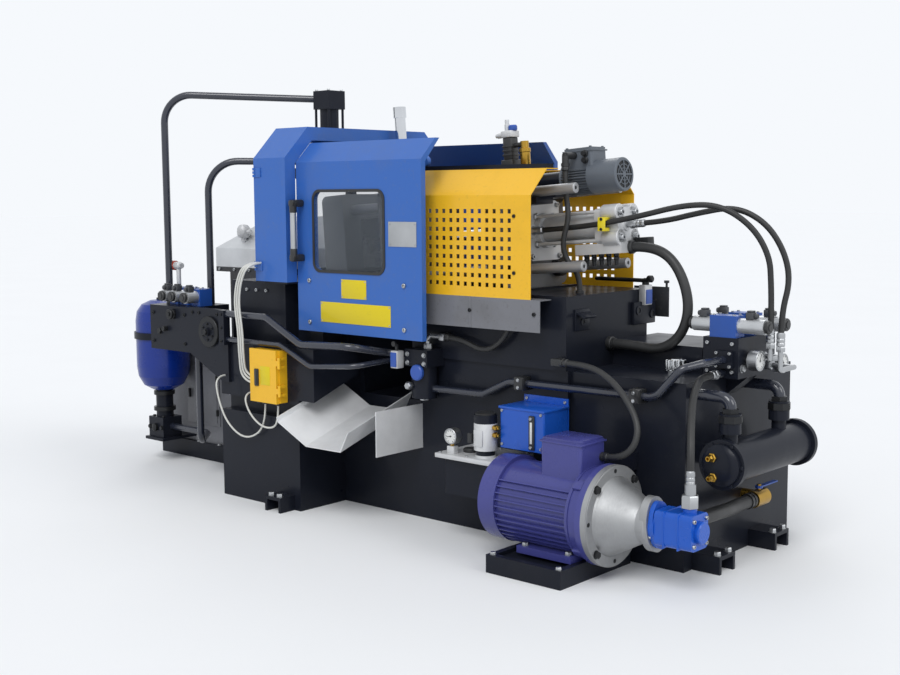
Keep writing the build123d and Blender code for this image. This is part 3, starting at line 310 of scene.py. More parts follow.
# Lugs at the end of the bed, flame-cut from plate, bored and welded on, in the bed's own enamel:
# an angle on the operator side and a thick bored plate at the far corner.
bm = bmesh.new()
block(bm, (960, -188, 696), (966, -112, 764), 1.5)
wing = Matrix.Translation((0.966, -0.150, 0.752)) @ Matrix.Rotation(radians(24), 4, "Y")
block(bm, (-4, -34, -3), (32, 34, 3), 1, wing)
block(bm, (960, 132, 690), (974, 262, 766), 3)
THICK_LUG_HOLES = ((974, 156, 738), (974, 240, 722))
THIN_LUG_HOLE = (966, -150, 724)
for place in THICK_LUG_HOLES:
    lathe(bm, ring(9, 15, 0, 4), place, "x", 24)
lathe(bm, ring(7, 11, 0, 3), THIN_LUG_HOLE, "x", 20)
piece("bed_lugs", bm, bed_enamel)

# Flat dark discs inside the bore rims: painted shade of the holes in the lugs.
bm = bmesh.new()
for place in THICK_LUG_HOLES:
    pin(bm, 9, 1.5, place, "x", 24)
pin(bm, 7, 1.5, THIN_LUG_HOLE, "x", 20)
piece("lug_bore_shade", bm, black_oxide_and_hole_shade)

# Oil tank: folded and welded steel sheet in the same dark enamel, with a lid and a raised box on
# it, and the plate pedestal of the main motor, which is bolted to the floor in front of the tank.
dress(bed_enamel, "oil_tank", "motor_pedestal")

# Covers on the far side, which the photograph doesn't show: two service plates on the bed and a
# round cleaning cover on the tank, plain sheet held by screws, in the bed's enamel.
bm = bmesh.new()
for x in (70, 520):
    block(bm, (x, 440, 150), (x + 340, 443, 430), 1)
lathe(bm, [(128, 0), (130, 2), (130, 7), (127, 9)], (1168, 454, 300), "y", 64)
piece("far_side_covers", bm, bed_enamel)
bm = bmesh.new()
screws(bm, ((84, 240, 396, 534, 690, 846), 443, (164, 416)), "y", 6, 5)
for across, rise in circle(10, 114):
    hex_head(bm, (1168 + across, 463, 300 + rise), "y", 8, 7)
piece("far_side_screws", bm, zinc)

# Furnace: an angle-iron base, a grey insulated casing, the dark jacket of the melting pot and a
# brushed stainless fume hood over it, folded with a sharp crease.
grey_enamel = enamel("grey satin enamel", "apron_paint", "#74757A", "#4F4D49", 0.30, 0.42, 0.2)
silver_cast = steel("silver-sprayed casting", "aluminium", "#D2D3D4", 0.48, 0.08, metallic=0.35)
jacket_enamel = enamel("dark grey heat-proof enamel", "apron_paint", "#303236", "#5B5751", 0.35, 0.45, 0.15)
BRUSHED_UP = (1.0, 1.0, 0.03)
stainless = steel("brushed stainless sheet", "stainless", "#D3D5D7", 0.50, 0.08, BRUSHED_UP, 0.55)
dress(bed_enamel, "furnace_base")
dress(grey_enamel, "furnace_casing")
dress(jacket_enamel, "furnace_jacket")
dress(stainless, "fume_hood")

bm = bmesh.new()
screws(bm, ((-915, -820, -725, -630, -535), -100, 825), "-y", 6, 6)
screws(bm, ((-1300, -890), -84, (130, 300, 440)), "-y", 5, 5)
screws(bm, ((-1240, -1100, -960), -92, 72), "z", 8, 7, hex_head)
piece("furnace_screws", bm, zinc)

# Furnace casing: two rows of pressed louvres on its outer end and its far side, and the frame of a
# burner door, in the casing's own grey enamel.
bm = bmesh.new()
for k in range(8):
    z = 190 + 26 * k
    for y in (-10, 142):
        block(bm, (-1345, y, z), (-1339, y + 112, z + 9), 2)
    for x in (-1270, -1060):
        block(bm, (x, 319, z), (x + 150, 325, z + 9), 2)
block(bm, (-1180, -88, 150), (-960, -83, 400), 1.5)
block(bm, (-1166, -91, 164), (-974, -87, 386), 1.5)
piece("casing_louvres", bm, grey_enamel)
bm = bmesh.new()
block(bm, (-1160, -100, 262), (-1148, -90, 300), 2)
for z in (196, 344):
    pin(bm, 6, 26, (-970, -92, z), "z", 14)
piece("casing_door_latch", bm, black_oxide_and_hole_shade)

# Head of the furnace's thermocouple: a cast aluminium cap, screwed on a bent stem that goes into
# the pot through its rim.
bm = bmesh.new()
lathe(bm, [(0, 0), (20, 0), (26, 8), (28, 24), (26, 40), (16, 52), (0, 56)], (-786, -76, 956), "z", 32)
lathe(bm, [(11, -14), (11, 0)], (-786, -76, 956), "z", 20)
pin(bm, 9, 24, (-764, -76, 980), "x", 16)
pin(bm, 7, 110, (-786, -76, 833), "z", 16)
piece("thermocouple_head", bm, silver_cast)

# Clamp: ground cast platens, oiled steel tie bars, a chromed rod and machined die blocks, all with
# fine tool marks. The cylinder is a casting sprayed silver, tied by four rods to the rear platen.
cast_iron = steel("machined grey casting", "cast_grey", "#75777A", 0.46, 0.12, metallic=0.75)
die_steel = steel("ground die steel", "bare_steel", "#9A9C9F", 0.30, 0.08)
chrome = steel("hard chrome", "chrome", "#D5D7DA", 0.13, 0.05, scale=(0.05, 1.0, 1.0))
bar_steel = steel("oiled ground bar steel", "chrome", "#A9AAAC", 0.45, 0.08, (0.05, 1.0, 1.0), 0.55)
aluminium = steel("cast aluminium", "aluminium", "#B9BBBD", 0.42, 0.08)
yellow_enamel = enamel("yellow-orange satin enamel", "yellow_paint", "#ECB624", "#9A7A30", 0.16, 0.36, 0.3)
dress(cast_iron, "fixed_platen", "moving_platen", "rear_platen")
dress(die_steel, "fixed_die", "moving_die")
dress(bar_steel, "tie_bars")
dress(chrome, "clamp_rod", "core_cylinder")
dress(silver_cast, "clamp_cylinder")

TILT = radians(4.2)
AXIS_Z = 953.0
FLANGE_FACE, CAP_FACE = 700.0, 1035.0
TILTED = Matrix.Rotation(-TILT, 4, "Y")
AXIS_FRAME = Matrix.Translation((0, 0, AXIS_Z / 1000)) @ TILTED


def on_axis(s, y, z):
    """The place on the machine, in millimetres, of a point given along the clamping axis."""
    return (s * cos(TILT) - z * sin(TILT), y, AXIS_Z + s * sin(TILT) + z * cos(TILT))


def on_drive(degrees):
    """The frame of the die-height drive, turned about its axis."""
    seat = AXIS_FRAME @ Matrix.Translation((0, 0, DRIVE_Z / 1000))
    return seat @ Matrix.Rotation(radians(degrees), 4, "X")


def in_line(bm, profile, s, y, z, steps):
    """Adds a turned part at a place along the clamping axis, in line with it."""
    lathe(bm, profile, on_axis(s, y, z), "x", steps, TILTED)


bm = bmesh.new()
for y, z in product((-40, 40), repeat=2):
    pin(bm, 15, 2, on_axis(CAP_FACE, y, z), "x", 24, TILTED)
    screw(bm, on_axis(1037, y, z), "x", 10, 10, TILTED)
for y, z in product((-46, 46), repeat=2):
    in_line(bm, [(10, 11), (12, 9), (12, 0)], FLANGE_FACE, y, z, 6)
for y, z in product((-74, 74), (-86, 86)):
    screw(bm, on_axis(FLANGE_FACE, y, z), "x", 9, 9, TILTED)
piece("clamp_cylinder_screws", bm, zinc)

# Cast cap of the clamp cylinder: rounded lobes, one round each tie-rod nut, and the flanges of the
# two ports, in the cylinder's silver. The black nuts behind hold the tie bars.
bm = bmesh.new()
for y, z in product((-40, 40), repeat=2):
    in_line(bm, [(26, -60), (27, -58), (27, -2), (25, 0)], CAP_FACE, y, z, 32)
in_line(bm, [(22, 0), (20, 6)], CAP_FACE, -10, 0, 32)
in_line(bm, [(24, 0), (22, 9)], FLANGE_FACE, -74, 0, 32)
piece("clamp_cap_lobes", bm, silver_cast)

bm = bmesh.new()
for y, z in product((-125, 125), repeat=2):
    nut = [(17.2, 0), (32, 0), (33, 2), (33, 26), (31, 28), (17.2, 28), (17.2, 0)]
    in_line(bm, nut, 650, y, z, 32)
piece("tie_bar_nuts", bm, black_oxide_and_hole_shade)

# Turned ends of the tie bars: a chamfered rim round the lathe's centre bore, in the dull oiled
# steel of the bars.
BAR_ENDS = ((-125, 125, 930), (125, 125, 930), (-125, -125, 945), (125, -125, 945))
bm = bmesh.new()
for y, z, end in BAR_ENDS:
    in_line(bm, [(5.5, 0), (7, 1.6), (14.5, 1.6), (16.8, 0), (5.5, 0)], end, y, z, 32)
piece("tie_bar_ends", bm, bar_steel)
# Each centre bore is a flat dark disc of painted shade.
bm = bmesh.new()
for y, z, end in BAR_ENDS:
    pin(bm, 5.8, 0.5, on_axis(end, y, z), "x", 24, TILTED)
piece("tie_bar_centre_shade", bm, black_oxide_and_hole_shade)

# Dark sheet covers of the gears behind the rear platen, and the black terminal block on the cap
# with a row of moulded cable outlets under the tray.
bm = bmesh.new()
block(bm, (651, -152, 84), (792, -62, 108), 3, AXIS_FRAME)
block(bm, (651, -60, 104), (800, 60, 128), 3, AXIS_FRAME)
piece("gear_cover", bm, bed_enamel)
bm = bmesh.new()
block(bm, (1041, 24, -86), (1092, 62, -44), 3, AXIS_FRAME)
for k in range(5):
    stub = [(9, 0), (9, 8), (7, 10), (9, 12), (9, 20), (7, 22), (7, 38)]
    lathe(bm, stub, on_axis(886 + 29 * k, -24, -90), "-z", 16, TILTED)
piece("cable_outlets", bm, black_oxide_and_hole_shade)


# Yellow two-piece clip that steadies the hose beside the cylinder: moulded nylon with an even soft
# sheen, closed by two dark screws.
def moulded(name, slot, colour, rough, grain_mm, relief=0.1):
    """Moulded plastic or rubber with a fine grain of a real size."""
    made, tree = blank(name)
    coords = add(tree, "TexCoord")
    at = {"Vector": (coords, "Object")}
    grain = add(tree, "TexNoise", {"Scale": 1000.0 / grain_mm, "Detail": 2.0}, at)
    cloud = add(tree, "TexNoise", {"Scale": 11.0, "Detail": 4.0}, at)
    dusty = tuple(c * 0.85 + 0.02 for c in linear(colour)[:3]) + (1.0,)
    tint = add(tree, "Mix", {"data_type": "RGBA", 6: linear(colour), 7: dusty}, {0: (cloud, 0)})
    dull = add(tree, "MapRange", {1: 0.3, 2: 0.8, 3: rough - 0.05, 4: rough + 0.12}, {0: (cloud, 0)})
    skin = add(tree, "Bump", {"Strength": relief, "Distance": 0.0003}, {"Height": (grain, 0)})
    fed = {"Base Color": (tint, 2), "Roughness": (dull, 0), "Normal": (skin, 0)}
    shader = add(tree, "BsdfPrincipled", {}, fed)
    add(tree, "OutputMaterial", {}, {"Surface": (shader, 0)})
    return made, slot


bm = bmesh.new()
block(bm, (976, -87, 1008), (1004, -83, 1052), 1)
block(bm, (976, -83, 1041), (1004, -60, 1052), 1)
block(bm, (976, -83, 1008), (1004, -60, 1019), 1)
clip_yellow = moulded("bright yellow moulded clip", "yellow_paint", "#E6D21C", 0.4, 0.8)
piece("hose_clip", bm, clip_yellow)
bm = bmesh.new()
for z in (1014, 1046):
    screw(bm, (990, -87, z), "-y", 5, 3)
piece("hose_clip_screws", bm, black_oxide_and_hole_shade)

# Die-height drive: a dark gear drum and a ribbed aluminium motor in blue-grey enamel, bolted on the
# rear platen, with a terminal box whose lid is held by four screws.
dress(bed_enamel, "gear_drum")
drive_enamel = enamel("blue-grey motor enamel", "apron_paint", "#5E646C", "#4A4A48", 0.20, 0.40, 0.2)
dress(drive_enamel, "die_height_motor")

DRIVE_Z = 160.0
FAN_FACE = 1030.0
FIN_COUNT = 26
bm = bmesh.new()
for k in range(FIN_COUNT):
    block(bm, (820, -0.9, 46), (918, 0.9, 54), 0, on_drive(62 + 236 * k / (FIN_COUNT - 1)))
in_line(bm, [(53, 0), (50, 8)], 812, 0, DRIVE_Z, 40)
block(bm, (826, -45, 244), (942, 45, 249), 1, AXIS_FRAME)
for s in (838, 930):
    for y in (-34, 34):
        screw(bm, on_axis(s, y, 256), "z", 4.5, 4, TILTED)
piece("drive_motor_fins", bm, drive_enamel)

# Pressed fan cover of the drive motor: spokes, rings and a hub in the same enamel, over a flat dark
# disc that paints the shade in its opening, and the two nylon glands of its terminal box.
bm = bmesh.new()
pin(bm, 45, 0.6, on_axis(FAN_FACE, 0, DRIVE_Z), "x", 40, TILTED)
piece("drive_fan_painted_shade", bm, black_oxide_and_hole_shade)
bm = bmesh.new()
in_line(bm, [(44, 0), (44, 3), (51, 3), (54, 0), (44, 0)], FAN_FACE, 0, DRIVE_Z, 40)
pin(bm, 9, 3, on_axis(FAN_FACE, 0, DRIVE_Z), "x", 24, TILTED)
for radius in (20, 32):
    in_line(bm, ring(radius - 1.2, radius + 1.2, 0, 2.4), FAN_FACE, 0, DRIVE_Z, 40)
for k in range(8):
    block(bm, (FAN_FACE, -2.2, 8), (FAN_FACE + 3, 2.2, 45), 0, on_drive(45 * k))
piece("drive_fan_cover", bm, drive_enamel)
bm = bmesh.new()
for y, z in ((-42, 214), (-42, 236)):
    lathe(bm, [(10, 0), (11, 6), (8, 8), (8, 16)], on_axis(916, y, z), "-y", 16, TILTED)
piece("drive_motor_glands", bm, black_oxide_and_hole_shade)

# Air valve unit on the rear platen: an anodised head over a black valve with a blue knob, and a brass
# filter beside it. It replaces the plain block of the solid model.
black_plastic = moulded("black moulded nylon", "black_steel", "#1B1C1E", 0.38, 0.8)
blue_grip = moulded("blue dipped vinyl grip", "pump_paint", "#2450A8", 0.4, 1.0)
brass = steel("plain brass", "brass", "#B8923F", 0.30, 0.08)
bm = bmesh.new()
block(bm, (596, -82, 183), (644, -26, 243), 3, AXIS_FRAME)
block(bm, (602, -74, 243), (638, -34, 318), 4, AXIS_FRAME)
for z in (256, 270, 284):
    block(bm, (600, -76, z), (640, -32, z + 6), 1, AXIS_FRAME)
pin(bm, 8, 34, on_axis(638, -54, 290), "x", 16, TILTED)
piece("air_valve_column", bm, black_plastic, instead_of=("air_valve_unit",))
bm = bmesh.new()
block(bm, (598, -78, 318), (642, -30, 340), 3, AXIS_FRAME)
lathe(bm, [(9, 0), (9, 22), (7, 24), (7, 38)], on_axis(610, -54, 340), "z", 20, TILTED)
lathe(bm, [(9, 0), (9, 28), (7, 30), (7, 36)], on_axis(598, -54, 328), "-x", 20, TILTED)
piece("air_valve_head", bm, silver_cast, instead_of=("air_valve_unit",))
bm = bmesh.new()
lathe(bm, [(13, 0), (15, 3), (15, 14), (12, 18)], on_axis(634, -54, 340), "z", 24, TILTED)
piece("air_valve_knob", bm, blue_grip, instead_of=("air_valve_unit",))
bm = bmesh.new()
bowl = [(14, 215), (17, 222), (17, 262), (19, 264), (19, 276), (14, 278), (14, 300)]
lathe(bm, bowl, on_axis(680, -54, 0), "z", 28, TILTED)
piece("air_filter_bowl", bm, brass, instead_of=("air_valve_unit",))

# Hood and door: folded sheet steel in satin blue enamel, scuffed and dusty, with the knuckles of
# the hood's hinged side panel and four zinc-plated screws in the door.
blue_enamel = enamel("mid blue satin enamel", "blue_paint", "#3464B2", "#6B7076", 0.18, 0.38, 0.2)
dark_blue = enamel("mid blue enamel in shade", "blue_paint", "#2F559E", "#55595F", 0.22, 0.42, 0.2)
dress(blue_enamel, "hood_arch", "door_panel")
dress(dark_blue, "rear_cover")

bm = bmesh.new()
for z in (856, 1193):
    for low, high in ((z, z + 9), (z + 12, z + 21), (z + 24, z + 33)):
        lathe(bm, [(6, low), (6, high)], (-296, -423, 0), "z", 20)
    block(bm, (-296, -424, z), (-262, -420, z + 33), 0.8)
piece("hood_hinges", bm, blue_enamel)

bm = bmesh.new()
screws(bm, ((-66, 398), -370, (678, 826)), "-y", 8, 6)
piece("door_screws", bm, zinc, "door")

# Bare plates riveted to the door: one of brushed aluminium beside the window and two of lemon
# yellow sheet below it, all without marks.
bm = bmesh.new()
block(bm, (328, -372, 955), (456, -370, 1038), 0.6)
piece("door_plate", bm, aluminium, "door")
lemon_enamel = enamel("lemon yellow enamel", "yellow_paint", "#D8C21A", "#8A7F2A", 0.12, 0.34, 0.2)
bm = bmesh.new()
block(bm, (96, -371.5, 770), (219, -370, 836), 0.5)
block(bm, (-10, -371.5, 682), (334, -370, 754), 0.5)
piece("door_yellow_plates", bm, lemon_enamel, "door")
bm = bmesh.new()
for x, z in ((335, 962), (449, 962), (335, 1031), (449, 1031)):
    lathe(bm, [(0, 0), (3.5, 0), (3, 1.4), (0, 2)], (x, -372, z), "-y", 12)
for x, z in (*product((101, 214), (776, 830)), *product((-4, 328), (688, 748))):
    lathe(bm, [(0, 0), (3, 0), (2.5, 1.2), (0, 1.6)], (x, -371.5, z), "-y", 12)
piece("door_rivets", bm, zinc, "door")

# Door handle: a satin aluminium tube between two black cast brackets, which are screwed to the
# panel from behind.
HANDLE_X, HANDLE_Y, HANDLE_LOW, HANDLE_HIGH = -100.0, -413.0, 905.0, 1100.0
bm = bmesh.new()
lathe(bm, [(11, 30), (11, 165)], (HANDLE_X, HANDLE_Y, HANDLE_LOW), "z", 28)
piece("door_handle_tube", bm, aluminium, "door", instead_of=("door_handle",))
bm = bmesh.new()
for z, up_way in ((HANDLE_LOW, 1), (HANDLE_HIGH, -1)):
    low, high = sorted((z - 12 * up_way, z + 14 * up_way))
    block(bm, (HANDLE_X - 13, HANDLE_Y - 13, low), (HANDLE_X + 13, -370, high), 7)
    way = "z" if up_way > 0 else "-z"
    lathe(bm, [(13, 0), (13, 32), (12, 34)], (HANDLE_X, HANDLE_Y, z), way, 28)
piece("door_handle_brackets", bm, black_plastic, "door", instead_of=("door_handle",))

# Guards: punched and bent sheet in yellow-orange enamel, a satin that keeps its colour in the sun,
# screwed to the platens. The control box is sprayed like them, and the aprons below are grey.
dress(yellow_enamel, "guards", "control_box", "control_box_door")
dress(bed_enamel, "door_rail")
dress(grey_enamel, "aprons")

bm = bmesh.new()
for y, way in ((-290, "-y"), (290, "y")):
    screws(bm, ((330, 800), y, (879, 1058)), way, 6, 4)
    screws(bm, ((330, 616, 880), y, 752), way, 6.5, 5)
piece("guard_screws", bm, black_oxide_and_hole_shade)
bm = bmesh.new()
for side in (-1, 1):
    y0, y1 = sorted((side * 290, side * 291.5))
    block(bm, (611, y0, 696), (621, y1, 796), 0.4)
piece("apron_joint_strips", bm, grey_enamel)

# End plate of the far apron: a dark sheet that reaches past the bed, with the small turned knob
# of a latch on it.
bm = bmesh.new()
block(bm, (870, 286.5, 708), (1010, 290.5, 810), 1)
lathe(bm, [(4, 0), (4, 12), (9, 14), (9, 22)], (1000, 288.5, 810), "z", 20)
piece("far_apron_end", bm, jacket_enamel)

# Door window: clear polycarbonate sheet, which gives a faint grey sheen, pressed into a black
# rubber profile with round corners.
black_rubber = moulded("black moulded rubber", "black_steel", "#17181A", 0.5, 1.2)
window_sheet, tree = blank("clear polycarbonate sheet")
coords = add(tree, "TexCoord")
haze = add(tree, "TexNoise", {"Scale": 6.0, "Detail": 5.0}, {"Vector": (coords, "Object")})
smear = add(tree, "MapRange", {1: 0.3, 2: 0.8, 3: 0.04, 4: 0.16}, {0: (haze, 0)})
clear = add(
    tree, "BsdfPrincipled",
    {"Base Color": linear("#646C74"), "Alpha": 0.2, "IOR": 1.58}, {"Roughness": (smear, 0)},
)
add(tree, "OutputMaterial", {}, {"Surface": (clear, 0)})
dress((window_sheet, "window"), "door_window")

WINDOW_LOW = Vector((-40, -370, 862)) / 1000
WINDOW_HIGH = Vector((305, -370, 1141)) / 1000
SEAL_LAP, SEAL_WIDTH, SEAL_RISE, SEAL_CORNER = 0.006, 0.010, 0.003, 0.036
bm = bmesh.new()
flat = Matrix.Rotation(radians(90), 4, "X")
half = (WINDOW_HIGH - WINDOW_LOW) / 2 + Vector((SEAL_LAP, 0, SEAL_LAP))
middle = Matrix.Translation((WINDOW_LOW + WINDOW_HIGH) / 2)
placed = middle @ Matrix.Diagonal((half.x, 1, half.z, 1)) @ flat
bmesh.ops.create_grid(bm, x_segments=1, y_segments=1, size=1.0, matrix=placed)
bmesh.ops.bevel(
    bm, geom=bm.verts[:], offset=SEAL_CORNER, segments=8, profile=0.5, affect="VERTICES", material=-1,
)
bmesh.ops.inset_region(
    bm, faces=bm.faces[:], thickness=SEAL_WIDTH, use_boundary=True, use_even_offset=True,
)
pane = max(bm.faces, key=lambda f: f.calc_area())
bmesh.ops.delete(bm, geom=[pane], context="FACES_ONLY")
raised = bmesh.ops.extrude_face_region(bm, geom=bm.faces[:])
lifted = [v for v in raised["geom"] if isinstance(v, bmesh.types.BMVert)]
bmesh.ops.translate(bm, verts=lifted, vec=(0, -SEAL_RISE, 0))
piece("window_seal", bm, black_rubber, "door")

# Shot end: a crosshead bolted on two columns and the shot cylinder, all in the dark enamel. The
# pressure pipes are bent tube in a glossier blue-grey, with a light line along each bend.
dress(bed_enamel, "shot_yoke", "shot_cylinder", "shot_valve_block", "manifold_block", "accumulator_block")
dress(bed_enamel, "filter_unit")
pipe_enamel = enamel("glossy blue-grey pipe enamel", "bed_paint", "#232733", "#34353A", 0.12, 0.20, 0.5, 0.5)
dress(pipe_enamel, "oil_pipes")

bm = bmesh.new()
screws(bm, (-345, (-110, 110), 1230), "z", 17, 15, hex_head)
screws(bm, ((-378, -312), (-34, 34), (1285, 1525)), "z", 6, 6)
piece("shot_end_screws", bm, zinc)
bm = bmesh.new()
for across, rise in circle(6, 30, 30):
    screw(bm, (-535 + across, -467, 618 + rise), "-y", 4.5, 4)
lathe(bm, [(36, 0), (56, 0), (58, 2), (58, 9), (56, 11), (36, 11), (36, 0)], (-535, -455, 618), "-y", 48)
hex_head(bm, (-535, -477, 618), "-y", 11, 8)
screws(bm, (-440, -477, (590, 640, 690)), "-y", 5, 4)
screws(bm, ((-640, -600, -490), -455, 686), "-y", 6, 5)
screws(bm, ((-890, -690), -455, (560, 672)), "-y", 6.5, 6)
hex_head(bm, (-808, -467, 612), "-y", 10, 7)
hex_head(bm, (-850, -455, 600), "-y", 12, 9)
piece("shot_block_screws", bm, black_oxide_and_hole_shade)

# Pressure valves of the shot block: knurled knobs of black oxide steel, screwed into the block's
# face.
bm = bmesh.new()
grip = [(19, 0), (20, 2), (20, 8), (17, 10), (17, 13), (20, 15), (20, 20), (18, 22), (8, 22), (8, 26)]
lathe(bm, grip, (-763, -455, 672), "-y", 28)
pin(bm, 9, 12, (-808, -455, 612), "-y", 24)
piece("shot_valve_knobs", bm, black_oxide_and_hole_shade, instead_of=("valve_plugs",))

# Pressure switch over the valves: an orange-red moulded cap on a silver die-cast body, screwed on
# a stem that stands on the block.
red_cap = moulded("orange-red moulded cap", "black_steel", "#B23A1E", 0.4, 1.0)
bm = bmesh.new()
lathe(bm, [(17, 0), (19, 4), (19, 30)], (-906, -352, 852), "x", 28)
piece("switch_cap", bm, red_cap)
bm = bmesh.new()
lathe(bm, [(15, 0), (15, 26), (11, 30), (11, 40)], (-876, -352, 852), "x", 24)
pin(bm, 9, 74, (-858, -352, 766), "z", 20)
piece("switch_body", bm, silver_cast)

# Accumulator: a forged gas bottle in deep blue gloss enamel, which carries one long highlight. Its
# charging valve and collars are black oxide, and screws hold its block to the furnace.
bottle_enamel = enamel("deep blue gloss enamel", "acc_paint", "#0A2C84", "#39404E", 0.15, 0.24, 0.35)
dress(bottle_enamel, "accumulator")

bm = bmesh.new()
lathe(bm, [(22, 690), (22, 698), (16, 700), (16, 716), (12, 720)], (-1190, -200, 0), "z", 28)
screws(bm, ((-1230, -1150), -248, 147), "-y", 9, 8, hex_head)
screws(bm, ((-1222, -1158), -232, 190), "z", 6, 6)
lathe(bm, [(16, 0), (16, 12), (10, 16)], (-1190, -248, 147), "-y", 24)
lathe(bm, ring(36, 46, 216, 232), (-1190, -200, 0), "z", 32)
lathe(bm, ring(36, 44, 284, 300), (-1190, -200, 0), "z", 32)
piece("accumulator_fittings", bm, black_oxide_and_hole_shade)

# Solenoid valves: cast bodies sprayed blue, each held by four screws, and satin zinc coil cans
# with a black ribbed nut at the end.
valve_enamel = enamel("valve blue enamel", "acc_paint", "#2450A2", "#41484F", 0.2, 0.35, 0.3)
coil_steel = steel("satin zinc coil can", "bare_steel", "#C4C6C8", 0.36, 0.08, metallic=0.6)
dress(valve_enamel, "valve_bodies")
dress(coil_steel, "valve_coils")

SHOT_VALVES = ((-845, -388, -330), (-782, -388, -330), (-690, -400, -342))
TANK_VALVES = (0, 112)
nut = [(18, 0), (18, 3), (20, 4), (20, 11), (17, 14), (12, 14), (12, 16)]
bm = bmesh.new()
for x, y0, y1 in SHOT_VALVES:
    lathe(bm, nut, (x, y0 - 52, 738), "-y", 12)
    if x < -700:
        lathe(bm, nut, (x, y1 + 62, 738), "y", 12)
for y in TANK_VALVES:
    lathe(bm, nut, (1283, y, 729), "-x", 12)
    lathe(bm, nut, (1524, y, 729), "x", 12)
piece("coil_nuts", bm, black_plastic)
bm = bmesh.new()
for x, y0, y1 in SHOT_VALVES:
    screws(bm, ((x - 18, x + 18), (y0 + 9, y1 - 9), 768), "z", 4.5, 4)
for y in TANK_VALVES:
    screws(bm, ((1360, 1427), (y - 18, y + 18), 759), "z", 4.5, 4)
for y, z in ((-6, 600), (176, 600), (176, 670)):
    hex_head(bm, (1450, y, z), "x", 11, 9)
screws(bm, ((1346, 1430), -30, (590, 676)), "-y", 6, 6)
screws(bm, ((1384, 1428), -42, (608, 648)), "-y", 5, 6)
piece("valve_screws", bm, zinc)

# Square plugs on the coils: dark grey moulded nylon with a gland at the side, pushed on the pins
# of the coil.
grey_plastic = moulded("dark grey moulded nylon", "black_steel", "#3A3C40", 0.36, 0.8)
bm = bmesh.new()
PLUG_AT = [(x, y0 - 28, 759, "-y") for x, y0, y1 in SHOT_VALVES]
PLUG_AT += [(1318, y, 750, "-x") for y in TANK_VALVES] + [(1474, y, 750, "x") for y in TANK_VALVES]
for x, y, z, way in PLUG_AT:
    block(bm, (x - 13, y - 13, z), (x + 13, y + 13, z + 22), 3)
    block(bm, (x - 10, y - 10, z + 22), (x + 10, y + 10, z + 27), 2)
    lathe(bm, [(7, 10), (8, 13), (8, 22), (5, 24)], (x, y, z + 11), way, 14)
piece("coil_plugs", bm, grey_plastic, instead_of=("valve_plugs",))


# Gauges: a pressed steel case and rim round a white dial with eleven ticks and a needle. The two on
# the tank face its end, the small one on the oil box faces the operator.
def gauge(name, place, axis, radius, needle):
    """Adds the rim, the dial and the marks of a gauge whose case is in the solid model."""
    case = bmesh.new()
    bore = radius * 0.84
    rim = [(bore, 0), (bore, 3), (radius * 0.92, 4), (radius, 2.5), (radius, -5), (bore, 0)]
    lathe(case, rim, place, axis, 40)
    piece(name + "_rim", case, zinc)
    face = bmesh.new()
    pin(face, radius * 0.85, 0.8, place, axis, 40)
    piece(name + "_dial", face, dial_white)
    marks = bmesh.new()
    seat = Matrix.Translation(Vector(place) / 1000) @ AXES[axis]
    for k in range(11):
        turned = seat @ Matrix.Rotation(radians(-150 + 30 * k), 4, "Z")
        block(marks, (-0.6, radius * 0.62, 0.8), (0.6, radius * 0.78, 1.3), 0, turned)
    turned = seat @ Matrix.Rotation(radians(needle), 4, "Z")
    block(marks, (-0.8, -5, 1.2), (0.8, radius * 0.66, 1.9), 0, turned)
    lathe(marks, [(2.6, 0.8), (2.6, 2.4)], place, axis, 16)
    piece(name + "_marks", marks, black_oxide_and_hole_shade)


dial_white = moulded("white enamelled dial", "white_cable", "#DEDFDD", 0.35, 1.0, 0.02)
dress(zinc, "pressure_gauges")
gauge("manifold_gauge", (1492, 25, 624), "x", 31, 70)
gauge("side_gauge", (1458, 244, 592), "x", 31, 120)
gauge("oiler_gauge", (622, -396, 350), "-y", 26, 100)

# Chute for the castings: thin sheet folded to a channel with one raised flap, in a paler and less
# metallic copy of the brushed stainless of the hood over the pot, which paints the light falling on it.
chute_sheet_lit = steel("brushed sheet lightened for painted light", "stainless", "#ECEDEE", 0.44, 0.08, BRUSHED_UP, 0.3)
dress(chute_sheet_lit, "chute")

# Control box door: a black moulded handle and a bare lemon yellow plate, and the black nylon
# glands in the floor of the box.
bm = bmesh.new()
block(bm, (-234, -497, 446), (-212, -492, 508), 4)
block(bm, (-229, -500, 452), (-217, -496, 502), 2)
piece("box_door_handle", bm, black_plastic, "box_door")
bm = bmesh.new()
block(bm, (-204, -492.8, 452), (-152, -492, 520), 0.3)
piece("box_door_plate", bm, lemon_enamel, "box_door")
bm = bmesh.new()
for x in (-250, -222):
    lathe(bm, [(8, 0), (8, 12), (6, 14)], (x, -461, 390), "-z", 16)
for x in (-216, -146):
    lathe(bm, [(3.6, 0), (8, 0), (8, 10), (6, 13), (3.6, 13), (3.6, 0)], (x, -461, 390), "-z", 16)
piece("box_glands", bm, black_plastic)

# Lubrication: a dark oil box with its small motor on a lid plate, and a glossy bright blue sheet
# tank beside it, both screwed to the side of the bed.
dress(bed_enamel, "lube_unit")
pump_enamel = enamel("bright blue gloss enamel", "pump_paint", "#1854B8", "#2C3A55", 0.15, 0.24, 0.35)
dress(pump_enamel, "lube_tank", "pump")

